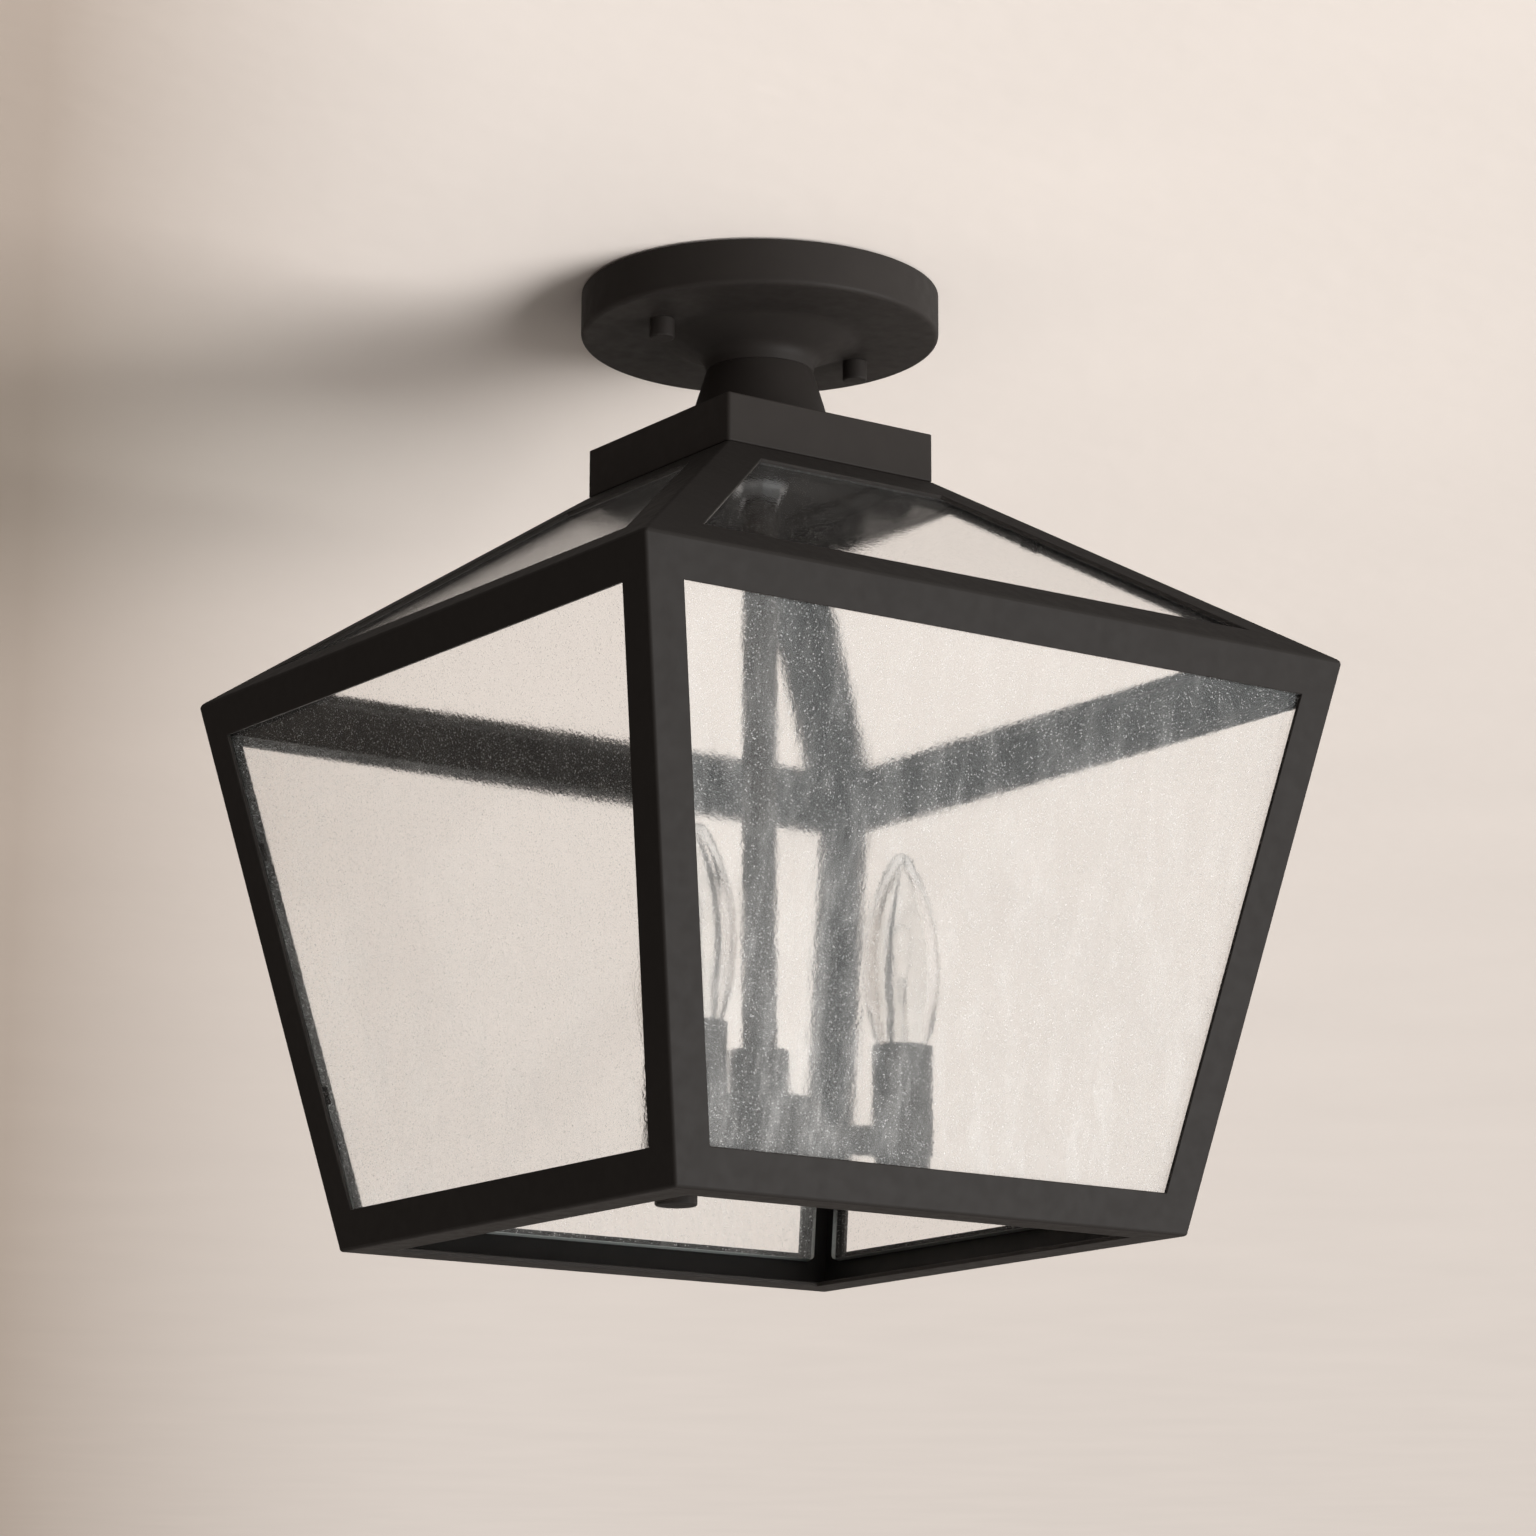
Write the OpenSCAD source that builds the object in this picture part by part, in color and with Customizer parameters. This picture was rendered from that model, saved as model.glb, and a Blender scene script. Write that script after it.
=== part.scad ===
// Porch ceiling lantern: a glazed frame of angle bars that tapers towards its open bottom,
// under a glazed hipped roof, a square cap, a flared neck and a round ceiling canopy.
// Three candle lamps stand on a hub at the end of a straight stem.
// Millimetres. The origin is the middle of the canopy's rim, in the plane of the ceiling,
// with +Z up, so the lantern hangs towards -Z. The front is -Y.

/* [Frame] */
// Width across the shoulders, where the roof meets the sides
shoulder_w = 305; // [270:1:350]
// Width across the open bottom
base_w = 220; // [190:1:250]
// Width across the top of the roof
roof_top_w = 92.6; // [84:0.2:104]
// Height of the glazed sides
side_h = 208.5; // [190:0.5:250]
// Height of the glazed roof
roof_h = 75; // [60:0.5:95]
// Leg of the angle bars on each glazed face
bar_leg = 14.5; // [12:0.5:18]
// Leg of the shoulder bars on the roof
eave_leg = 17; // [13:0.5:20]
// Leg of the top bars on the roof
crown_leg = 16; // [13:0.5:20]
// Level leg of the top bars, which carries the cap and its plate
crown_seat = 12; // [8:0.5:16]
// Wall of the angle bars
bar_wall = 1.6; // [1.2:0.1:2.4]
// Rounding of the bars' outer corners
bar_round = 1.2; // [0.4:0.1:1.6]
// Saw gap between mitred bars
mitre_gap = 0.1; // [0.05:0.01:0.3]

/* [Glass] */
// Thickness of the panes
glass_t = 3; // [2:0.1:4]
// How far a pane reaches behind the level bars
pane_lap = 3; // [2:0.5:5]
// How far a pane reaches behind the sloping bars
pane_side_lap = 5.5; // [2:0.5:6]
// Corner radius of the panes
pane_corner_r = 2.5; // [1:0.5:5]
// Width of the glass clips
clip_w = 8; // [5:0.5:14]
// Sheet thickness of the glass clips
clip_t = 0.8; // [0.5:0.1:1.2]
// Length of a clip's foot on the bar
clip_foot = 4.2; // [3:0.1:5]
// Reach of a clip over the pane
clip_reach = 4; // [2:0.5:6]
// Space between a pane's edge and its clips
clip_gap = 0.3; // [0.1:0.1:0.8]

/* [Cap and neck] */
// Width of the square cap
cap_w = 93; // [90:0.5:110]
// Height of the square cap
cap_h = 18.5; // [14:0.5:28]
// Wall of the cap
cap_wall = 1.6; // [1.2:0.1:2.4]
// Rounding of the cap's upright edges
cap_round = 1.5; // [0.5:0.1:3]
// Thickness of the plate inside the cap
top_plate_t = 2; // [1.5:0.1:4]
// Space round the plate inside the cap
top_plate_gap = 0.3; // [0.1:0.1:1]
// Height of the neck
neck_h = 27.3; // [20:0.1:45]
// Diameter of the waist, where the canopy meets the neck
waist_d = 40.4; // [36:0.2:48]
// Diameter of the neck's foot on the cap
neck_foot_d = 57; // [50:0.2:66]
// Wall of the neck
neck_wall = 2.5; // [1.5:0.1:4]
// Thickness of the neck's closed top
neck_top_t = 3; // [2:0.1:5]

/* [Canopy] */
// Diameter of the canopy
canopy_d = 135; // [125:0.5:150]
// Height of the canopy's rim
canopy_h = 17; // [14:0.5:26]
// Sheet thickness of the canopy
canopy_wall = 1.2; // [0.8:0.1:2]
// Outer radius of the canopy's lower edge
canopy_edge_r = 2; // [1.5:0.1:4]
// Depth of the canopy's dip towards the neck
dip_h = 12.7; // [9:0.1:16]
// How far the dip spreads round the waist
dip_spread = 17; // [12:0.1:18]
// Share of the dip's depth that is steep, next to the waist
dip_steep = 0.4; // [0.25:0.01:0.6]
// How far the steep part slants outwards
dip_slant = 1; // [0.4:0.1:2]
// Radius of the curve between the steep part and the rest of the dip
dip_turn_r = 6; // [3:0.5:8]
// Radius of the curve between the dip and the flat face
dip_edge_r = 10; // [4:0.5:14]
// Distance between the two mounting studs
stud_spacing = 88.9; // [82:0.1:96]
// Diameter of the mounting studs
stud_d = 4.2; // [3.8:0.1:5]
// How far a stud reaches below the canopy's flat face
stud_reach = 5.5; // [4:0.5:6]
// Diameter of the round nuts on the studs
thumb_nut_d = 9.3; // [8:0.1:14]
// Height of the round nuts
thumb_nut_h = 7.5; // [7:0.1:12]
// Rounding of the round nuts' lower edge
thumb_nut_round = 0.8; // [0.3:0.1:1.5]
// Running clearance of the nuts on their studs, at the radius
thread_gap = 0.05; // [0.02:0.01:0.1]

/* [Mounting plate] */
// Metal left outside the slots and the studs, at the plate's rim
plate_rim = 4.5; // [3:0.1:8]
// Thickness of the mounting plate
mount_plate_t = 1.6; // [1.2:0.1:3]
// Diameter of the hole for the supply wires
wire_hole_d = 22; // [12:0.5:30]
// Distance between the middles of the two box-screw slots
slot_spacing = 80; // [70:0.5:84]
// Length of the box-screw slots
slot_len = 15; // [8:0.5:18]
// Width of the box-screw slots
slot_w = 5.2; // [4.4:0.1:7]
// Distance of the ground screw in front of the middle
ground_r = 22; // [20:0.5:26]
// Shank diameter of the ground screw
ground_d = 4.2; // [3:0.1:5]
// Head diameter of the ground screw
ground_head_d = 8; // [6:0.1:10]
// Head height of the ground screw
ground_head_h = 2.6; // [1.5:0.1:4]

/* [Stem and hub] */
// Diameter of the threaded pipes
pipe_d = 9.6; // [9:0.1:11]
// Bore of the threaded pipes
pipe_bore = 6.6; // [5:0.1:7.5]
// Space round a pipe in its holes, at the radius
pipe_gap = 0.1; // [0.05:0.01:0.3]
// How far each pipe reaches into the stem
pipe_grip = 12; // [8:0.5:20]
// How far a pipe stands out of its end nut
pipe_stub = 2; // [1:0.5:4]
// Width across the flats of the pipe nuts
pipe_nut_w = 14; // [13:0.5:17]
// Height of the pipe nuts
pipe_nut_h = 5; // [3:0.5:7]
// Diameter of the pipe washers
washer_d = 20; // [17:0.5:24]
// Thickness of the pipe washers
washer_t = 1.2; // [0.8:0.1:2]
// Diameter of the stem
stem_d = 12.7; // [12.3:0.1:16]
// Length of the stem
stem_len = 224.7; // [205:0.1:236]
// Diameter of the collar round the stem's foot
collar_d = 22; // [19:0.5:28]
// Height of the collar
collar_h = 18.1; // [10:0.1:24]
// Diameter of the hub
hub_d = 44.5; // [40:0.5:52]
// Height of the hub
hub_h = 28; // [24:0.5:31]
// Wall of the hub
hub_wall = 3; // [2:0.1:4]
// Rounding of the hub's edges
hub_round = 1.5; // [0.5:0.1:1.8]
// Thickness of the hub's cover
cover_t = 1.6; // [1:0.1:2.4]
// Height of the cover's rim inside the hub
cover_rim_h = 2; // [1:0.1:4]

/* [Arms and candles] */
// Number of candles
candles = 3; // [2:1:3]
// Direction of the first candle, in degrees from +X
first_candle = 90; // [0:5:90]
// Distance of the candles from the stem's axis
candle_r = 52.5; // [48:0.5:60]
// Diameter of the arms
arm_d = 11; // [9:0.1:11.6]
// Wall of the arms
arm_wall = 1.5; // [1:0.1:2.2]
// Depth of the arms' axis below the hub's top
arm_drop = 14.1; // [13:0.1:16]
// Space round the arms in their holes, at the radius
arm_gap = 0.05; // [0.02:0.01:0.15]
// Diameter of the candle sleeves
sleeve_d = 22; // [20.5:0.1:26]
// Length of the candle sleeves
sleeve_len = 27.7; // [26.5:0.1:45]
// Wall of the candle sleeves
sleeve_wall = 1.2; // [0.8:0.1:2]
// Height of the cups above the arms' axis
cup_rise = 7; // [6.5:0.1:10]
// Depth of the cups' full width below the arms' axis
cup_skirt = 5.7; // [4:0.1:8]
// Diameter of the cups' foot
cup_foot_d = 20; // [18.5:0.1:20.4]
// Height of the cups' foot
cup_foot_h = 8; // [5:0.1:12]
// Diameter of the wire channel in the cups
cup_bore = 6; // [4:0.1:7]
// Diameter of the nuts under the cups
cup_nut_d = 16; // [12:0.1:18]
// Height of the nuts under the cups
cup_nut_h = 5.3; // [4:0.1:8]
// Length of the nuts' spigot inside the cups
spigot_h = 5; // [3:0.1:7]
// Rounding of the lower edges of cups and nuts
cup_round = 0.8; // [0.3:0.1:1.2]

/* [Lamps] */
// Diameter of the lamp sockets
socket_d = 16.5; // [15:0.1:17.5]
// Depth of the sockets' bore
socket_depth = 16; // [14:0.1:18]
// Thickness of the sockets' bottom
socket_floor = 2; // [1.5:0.1:4]
// Depth of a socket's top below the sleeve's top
socket_sink = 8; // [7.6:0.1:14]
// Diameter of the candelabra lamp bases
lamp_base_d = 11.84; // [11.4:0.01:12.4]
// Running clearance of a lamp base in its socket, at the radius
lamp_gap = 0.08; // [0.02:0.01:0.1]
// Length of a lamp base, with its contact
lamp_base_h = 16.6; // [16.2:0.1:20]
// Largest diameter of the lamp glass
lamp_d = 28; // [24:0.5:34]
// Height of the widest place above the lamp base
lamp_belly = 36.4; // [30:0.1:44]
// Radius of the lamp's tip
lamp_tip_r = 4.2; // [2.5:0.1:6]
// Wall of the lamp glass
lamp_wall = 0.8; // [0.5:0.1:1.2]
// Height of the glass mount inside a lamp
lamp_mount_h = 33; // [24:0.5:40]

/* [Hidden] */
$fn = 96;

// Colours
coat = "#35302d";
coat_dark = "#2a2624";
pane_tint = [0.86, 0.9, 0.9, 0.3];
lamp_tint = [0.93, 0.93, 0.9, 0.35];
zinc = "#b9bbbd";
brass = "#c9a45a";
steel = "#9a9c9e";
ground_green = "#3f7d46";
socket_resin = "#e9e3d4";

// Sides and corners, counted anticlockwise from the front seen from above
FRONT = 0;
RIGHT = 1;
BACK = 2;
LEFT = 3;
sides = [FRONT, RIGHT, BACK, LEFT];

// Small overlap that lets a cut run past the surface it cuts
past = 1;
// Length that is longer than any bar or face, for cutting planes
reach = 2 * shoulder_w;

// Levels, from the ceiling down
z_canopy_face = -canopy_h;
z_waist = z_canopy_face - dip_h;
z_cap = z_waist - neck_h;
z_crown = z_cap - cap_h;
z_shoulder = z_crown - roof_h;
z_base = z_shoulder - side_h;
z_plate_nut = z_crown - washer_t - pipe_nut_h;
z_stem = z_plate_nut;
z_hub = z_stem - stem_len;
z_hub_end = z_hub - hub_h;
z_arm = z_hub - arm_drop;
z_cup = z_arm + cup_rise;
z_cup_step = z_arm - cup_skirt;
z_cup_end = z_cup_step - cup_foot_h;
z_sleeve = z_cup + sleeve_len;
z_socket = z_sleeve - socket_sink;
z_contact = z_socket - socket_depth;
z_socket_floor = z_contact - socket_floor;
z_lamp = z_contact + lamp_base_h;

// Slopes of the glazed faces
half_shoulder = shoulder_w / 2;
half_base = base_w / 2;
half_top = roof_top_w / 2;
side_tilt = atan((half_shoulder - half_base) / side_h);
side_len = side_h / cos(side_tilt);
roof_pitch = atan(roof_h / (half_shoulder - half_top));
roof_len = roof_h / sin(roof_pitch);
// Inside angle between two neighbouring faces, from the upright part of their normals
function corner_angle(upright) = 180 - acos(upright * upright);
post_angle = corner_angle(sin(side_tilt));
hip_angle = corner_angle(cos(roof_pitch));
// A corner of the frame, as its distance from the axis along the diagonal and its height
base_corner = [half_base * sqrt(2), z_base];
shoulder_corner = [half_shoulder * sqrt(2), z_shoulder];
top_corner = [half_top * sqrt(2), z_crown];

// The mounting plate reaches past its slots and the studs
mount_plate_d = max(slot_spacing + slot_len, stud_spacing + stud_d) + 2 * plate_rim;

// Canopy dip: a gentle slope from the flat face, then a steep part down to the waist
dip_low = [waist_d / 2, z_waist];
dip_turn = dip_low + [dip_slant, dip_steep * dip_h];
dip_edge = [waist_d / 2 + dip_spread, z_canopy_face];
dip_slope = atan((dip_edge[1] - dip_turn[1]) / (dip_edge[0] - dip_turn[0]));
steep_slope = atan((dip_turn[1] - dip_low[1]) / (dip_turn[0] - dip_low[0]));
// Direction from the outer face of a sheet, sloping by the given angle, to its inner face
function inward(slope) = [-sin(slope), cos(slope)];
// Corner between two slopes of a sheet, moved inwards by the given thickness
function inner_corner(p, slope_a, slope_b, t) =
    p + (inward(slope_a) + inward(slope_b)) * t / (1 + cos(slope_a - slope_b));
dip_turn_centre = inner_corner(dip_turn, dip_slope, steep_slope, -dip_turn_r);
dip_edge_centre = inner_corner(dip_edge, 0, dip_slope, -dip_edge_r);

// Radius of the neck at the given depth below the waist
function neck_r(depth) = (waist_d + (neck_foot_d - waist_d) * depth / neck_h) / 2;

// Lamp outline: one long arc through the base and the belly, closed by a small round tip
lamp_swell = (lamp_d - lamp_base_d) / 2;
lamp_arc_r = (lamp_belly * lamp_belly + lamp_swell * lamp_swell) / (2 * lamp_swell);
lamp_arc_x = lamp_d / 2 - lamp_arc_r;
lamp_tip_z = lamp_belly
    + sqrt(pow(lamp_arc_r - lamp_tip_r, 2) - pow(lamp_arc_x, 2));
// Height at which the arc meets the tip, with both drawn smaller by the given wall
function lamp_tangent_z(inset) = lamp_belly
    + (lamp_tip_z - lamp_belly) * (lamp_arc_r - inset) / (lamp_arc_r - lamp_tip_r);
contact_d = 4;
contact_h = 1.4;
insulator_h = 2.2;

function unit(v) = v / norm(v);

// ---- Helpers for outlines and places ----

// The sliver outside an arc of radius r in corner p, between its neighbours a and b
module corner_nib(p, a, b, r) {
    to_a = unit(a - p);
    to_b = unit(b - p);
    half = acos(to_a * to_b) / 2;
    middle = unit(to_a + to_b);
    centre = p + middle * r / sin(half);
    touch_a = p + to_a * r / tan(half);
    touch_b = p + to_b * r / tan(half);
    difference() {
        polygon([
            centre,
            centre + (touch_a - centre) * 1.5,
            p - middle * r,
            centre + (touch_b - centre) * 1.5
        ]);
        translate(centre) circle(r);
    }
}

// A convex outline with all its corners rounded
module rounded_outline(points, r) {
    n = len(points);
    difference() {
        polygon(points);
        for (i = [0:n - 1])
            corner_nib(points[i], points[(i + n - 1) % n], points[(i + 1) % n], r);
    }
}

// Angle section: two legs leave the origin at half the inside angle on each side of +X
module angle_section(angle, low_leg, high_leg) {
    half = angle / 2;
    low = [cos(half), -sin(half)];
    high = [cos(half), sin(half)];
    low_in = [sin(half), cos(half)];
    high_in = [sin(half), -cos(half)];
    difference() {
        polygon([
            [0, 0],
            low * low_leg,
            low * low_leg + low_in * bar_wall,
            [bar_wall / sin(half), 0],
            high * high_leg + high_in * bar_wall,
            high * high_leg
        ]);
        corner_nib([0, 0], low, high, bar_round);
    }
}

// Glazed side k: x along the face, y up its slope from the base edge, z outwards
module on_side(k)
    rotate([0, 0, 90 * k])
        translate([0, -half_base, z_base])
            rotate([90 + side_tilt, 0, 0])
                children();

// Glazed roof face k: x along the face, y up its slope from the eave, z outwards
module on_roof(k)
    rotate([0, 0, 90 * k])
        translate([0, -half_shoulder, z_shoulder])
            rotate([roof_pitch, 0, 0])
                children();

// Everything above, or below, a level line across a face
module above(line)
    translate([-reach, line, -reach])
        cube([2 * reach, reach, 2 * reach]);
module below(line)
    translate([-reach, line - reach, -reach])
        cube([2 * reach, reach, 2 * reach]);

// Angle bar along one corner of the frame, with corner k between sides k - 1 and k
module corner_bar(k, foot, head, angle) {
    run = head - foot;
    rotate([0, 0, 90 * k - 135])
        translate([foot[0], 0, foot[1]])
            rotate([0, atan2(run[0], run[1]), 0])
                linear_extrude(norm(run))
                    rotate(180)
                        angle_section(angle, bar_leg, bar_leg);
}

// Level bars on all four sides, mitred at the corners: the section is drawn inwards and up
// from the outer corner
module level_bars(half, z)
    for (k = sides)
        rotate([0, 0, 90 * k])
            intersection() {
                translate([0, -half, z])
                    rotate([90, 0, 90])
                        linear_extrude(reach, center = true)
                            children();
                translate([0, -mitre_gap / sqrt(2), z - reach / 2])
                    linear_extrude(reach)
                        polygon([[0, 0], [-reach, -reach], [reach, -reach]]);
            }

// ---- Frame ----

module post(k) {
    color(coat)
        difference() {
            corner_bar(k, base_corner, shoulder_corner, post_angle);
            on_side(k) above(side_len - bar_leg);
            on_side(k + 3) above(side_len - bar_leg);
            intersection() {
                on_side(k) below(bar_leg);
                on_side(k + 3) below(bar_leg);
            }
        }
}

module hip(k) {
    color(coat)
        difference() {
            corner_bar(k, shoulder_corner, top_corner, hip_angle);
            on_roof(k) below(eave_leg);
            on_roof(k + 3) below(eave_leg);
            intersection() {
                on_roof(k) above(roof_len - crown_leg);
                on_roof(k + 3) above(roof_len - crown_leg);
            }
        }
}

module shoulder_bars() {
    inside = 90 - side_tilt + roof_pitch;
    color(coat)
        level_bars(half_shoulder, z_shoulder)
            rotate(roof_pitch - inside / 2)
                angle_section(inside, bar_leg, eave_leg);
}

module base_bars() {
    inside = 90 + side_tilt;
    color(coat)
        level_bars(half_base, z_base)
            rotate(inside / 2)
                angle_section(inside, bar_leg, bar_leg);
}

module top_bars() {
    inside = 180 - roof_pitch;
    color(coat)
        level_bars(half_top, z_crown)
            rotate(-inside / 2)
                angle_section(inside, crown_leg, crown_seat);
}

// ---- Glass ----

// Half width of a face that narrows or widens steadily between its two level edges
function face_half(low, high, length, y) = low + (high - low) * y / length;

// Outline of a pane, set in from the face's edges
function pane_points(low, high, length, y0, y1, side_in) =
    let (stretch = side_in / cos(atan((high - low) / length)),
         x0 = face_half(low, high, length, y0) - stretch,
         x1 = face_half(low, high, length, y1) - stretch)
    [[-x0, y0], [x0, y0], [x1, y1], [-x1, y1]];

pane_side_in = bar_leg - pane_side_lap;
side_pane = pane_points(half_base, half_shoulder, side_len,
    bar_leg - pane_lap, side_len - bar_leg + pane_lap, pane_side_in);
roof_pane = pane_points(half_shoulder, half_top, roof_len,
    eave_leg - pane_lap, roof_len - crown_leg + pane_lap, pane_side_in);

module pane(points)
    translate([0, 0, -bar_wall - glass_t])
        linear_extrude(glass_t)
            rounded_outline(points, pane_corner_r);

module side_glass(k) color(pane_tint) on_side(k) pane(side_pane);

module roof_glass(k) color(pane_tint) on_roof(k) pane(roof_pane);

// Folded clip: its foot lies on the bar, its tongue on the pane, and +X leads to the bar
module clip() {
    tongue_z = -glass_t;
    translate([0, clip_w / 2, -bar_wall])
        rotate([90, 0, 0])
            linear_extrude(clip_w)
                polygon([
                    [clip_gap, 0],
                    [clip_gap + clip_foot, 0],
                    [clip_gap + clip_foot, -clip_t],
                    [clip_gap + clip_t, -clip_t],
                    [clip_gap + clip_t, tongue_z - clip_t],
                    [-clip_reach, tongue_z - clip_t],
                    [-clip_reach, tongue_z],
                    [clip_gap, tongue_z]
                ]);
}

// Two clips on each sloping edge of a pane
clip_places = [0.25, 0.75];
module pane_clips(points) {
    foot = points[1];
    head = points[2];
    lean = atan2(head[0] - foot[0], head[1] - foot[1]);
    for (flip = [0, 1])
        mirror([flip, 0, 0])
            for (t = clip_places)
                translate(foot + (head - foot) * t)
                    rotate([0, 0, -lean])
                        clip();
}

module glass_clips() {
    color(coat_dark)
        for (k = sides) {
            on_side(k) pane_clips(side_pane);
            on_roof(k) pane_clips(roof_pane);
        }
}

// ---- Cap, neck and canopy ----

module pipe_hole(z, h)
    translate([0, 0, z - past])
        cylinder(r = pipe_d / 2 + pipe_gap, h = h + 2 * past);

module square_outline(width, r) {
    half = width / 2;
    rounded_outline([[-half, -half], [half, -half], [half, half], [-half, half]], r);
}

module cap() {
    color(coat)
        difference() {
            translate([0, 0, z_crown])
                linear_extrude(cap_h)
                    square_outline(cap_w, cap_round);
            translate([0, 0, z_crown - past])
                linear_extrude(cap_h - cap_wall + past)
                    square(cap_w - 2 * cap_wall, center = true);
            pipe_hole(z_cap - cap_wall, cap_wall);
        }
}

module top_plate() {
    color(coat_dark)
        difference() {
            translate([0, 0, z_crown])
                linear_extrude(top_plate_t)
                    square(cap_w - 2 * (cap_wall + top_plate_gap), center = true);
            pipe_hole(z_crown, top_plate_t);
        }
}

module neck() {
    color(coat)
        rotate_extrude()
            difference() {
                polygon([[0, z_waist], [neck_r(0), z_waist], [neck_r(neck_h), z_cap], [0, z_cap]]);
                polygon([
                    [0, z_waist - neck_top_t],
                    [neck_r(neck_top_t) - neck_wall, z_waist - neck_top_t],
                    [neck_r(neck_h) - neck_wall, z_cap],
                    [0, z_cap]
                ]);
                translate([0, z_cap])
                    square([pipe_d / 2 + pipe_gap, neck_h]);
            }
}

// Half section of the canopy, drawn smaller by the given sheet thickness
module canopy_half(inset) {
    face_z = z_canopy_face + inset;
    rim_r = canopy_d / 2 - inset;
    turn_r = dip_turn_r + inset;
    edge_r = dip_edge_r + inset;
    difference() {
        union() {
            translate([0, face_z])
                square([rim_r, canopy_h]);
            polygon([
                [0, z_waist + inset],
                inner_corner(dip_low, steep_slope, 0, inset),
                dip_turn_centre + turn_r * inward(steep_slope),
                dip_turn_centre + turn_r * inward(dip_slope),
                dip_edge_centre + edge_r * inward(dip_slope),
                dip_edge_centre + edge_r * inward(0),
                [dip_edge_centre[0], face_z + canopy_wall],
                [0, face_z + canopy_wall]
            ]);
        }
        translate(dip_turn_centre)
            circle(turn_r);
        translate(dip_edge_centre)
            circle(edge_r);
        corner_nib([rim_r, face_z], [rim_r, 0], [0, face_z], canopy_edge_r - inset);
        square([rim_r + past, canopy_h]);
    }
}

module canopy() {
    color(coat)
        difference() {
            rotate_extrude()
                difference() {
                    canopy_half(0);
                    canopy_half(canopy_wall);
                    translate([0, z_waist - past])
                        square([pipe_d / 2 + pipe_gap, dip_h]);
                }
            for (x = [-1, 1])
                translate([x * stud_spacing / 2, 0, z_canopy_face - past])
                    cylinder(d = stud_d + 1, h = canopy_wall + 2 * past);
        }
}

// ---- Mounting plate ----

module slot(length, width, z, h)
    translate([0, 0, z])
        linear_extrude(h) {
            square([width, length - width], center = true);
            for (y = [-1, 1])
                translate([0, y * (length - width) / 2])
                    circle(d = width);
        }

module at_ground_screw()
    translate([0, -ground_r, 0])
        children();

module mounting_plate() {
    color(zinc)
        difference() {
            translate([0, 0, -mount_plate_t])
                cylinder(d = mount_plate_d, h = mount_plate_t);
            translate([0, 0, -mount_plate_t - past])
                cylinder(d = wire_hole_d, h = mount_plate_t + 2 * past);
            for (y = [-1, 1])
                translate([0, y * slot_spacing / 2, 0])
                    slot(slot_len, slot_w, -mount_plate_t - past, mount_plate_t + 2 * past);
            for (x = [-1, 1])
                translate([x * stud_spacing / 2, 0, -mount_plate_t - past])
                    cylinder(d = stud_d, h = mount_plate_t + 2 * past);
            at_ground_screw()
                translate([0, 0, -mount_plate_t - past])
                    cylinder(d = ground_d, h = mount_plate_t + 2 * past);
        }
}

module mounting_studs() {
    color(zinc)
        for (x = [-1, 1])
            translate([x * stud_spacing / 2, 0, z_canopy_face - stud_reach])
                cylinder(d = stud_d, h = canopy_h + stud_reach);
}

module ground_screw() {
    color(ground_green)
        at_ground_screw() {
            translate([0, 0, -mount_plate_t])
                cylinder(d = ground_d, h = mount_plate_t);
            translate([0, 0, -mount_plate_t - ground_head_h])
                cylinder(d = ground_head_d, h = ground_head_h);
        }
}

module thumb_nut(x) {
    color(coat)
        translate([x * stud_spacing / 2, 0, z_canopy_face - thumb_nut_h])
            rotate_extrude()
                difference() {
                    square([thumb_nut_d / 2, thumb_nut_h]);
                    corner_nib([thumb_nut_d / 2, 0], [0, 0], [thumb_nut_d / 2, thumb_nut_h],
                        thumb_nut_round);
                    translate([0, thumb_nut_h - stud_reach])
                        square([stud_d / 2 + thread_gap, stud_reach + past]);
                }
}

// ---- Pipes, washers and nuts ----

module pipe(z_low, z_high, outer_d, bore_d)
    translate([0, 0, z_low])
        difference() {
            cylinder(d = outer_d, h = z_high - z_low);
            translate([0, 0, -past])
                cylinder(d = bore_d, h = z_high - z_low + 2 * past);
        }

z_canopy_washer = z_waist + canopy_wall;
z_canopy_nut = z_canopy_washer + washer_t;
z_hub_nut = z_hub - hub_wall - pipe_nut_h;

module center_pipe() {
    color(zinc)
        pipe(z_stem - pipe_grip, z_canopy_nut + pipe_nut_h + pipe_stub, pipe_d, pipe_bore);
}

module hub_pipe() {
    color(zinc)
        pipe(z_hub_nut - pipe_stub, z_hub + pipe_grip, pipe_d, pipe_bore);
}

module pipe_washers() {
    color(zinc)
        for (z = [z_canopy_washer, z_crown - washer_t])
            pipe(z, z + washer_t, washer_d, pipe_d + 2 * pipe_gap);
}

module pipe_nuts() {
    color(zinc)
        for (z = [z_canopy_nut, z_plate_nut, z_hub_nut])
            translate([0, 0, z])
                difference() {
                    cylinder(d = pipe_nut_w / cos(30), h = pipe_nut_h, $fn = 6);
                    translate([0, 0, -past])
                        cylinder(r = pipe_d / 2 + pipe_gap, h = pipe_nut_h + 2 * past);
                }
}

// ---- Stem and hub ----

module stem() {
    color(coat)
        pipe(z_hub, z_stem, stem_d, pipe_d + 2 * pipe_gap);
}

module hub_collar() {
    color(coat)
        pipe(z_hub, z_hub + collar_h, collar_d, stem_d + 2 * pipe_gap);
}

// Stands along the direction of candle i
module at_candle(i)
    rotate([0, 0, first_candle + i * 360 / candles])
        children();

// Level rod from one distance to another along +X, at the arms' height
module arm_rod(r_low, r_high, r)
    translate([r_low, 0, z_arm])
        rotate([0, 90, 0])
            cylinder(r = r, h = r_high - r_low);

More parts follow.
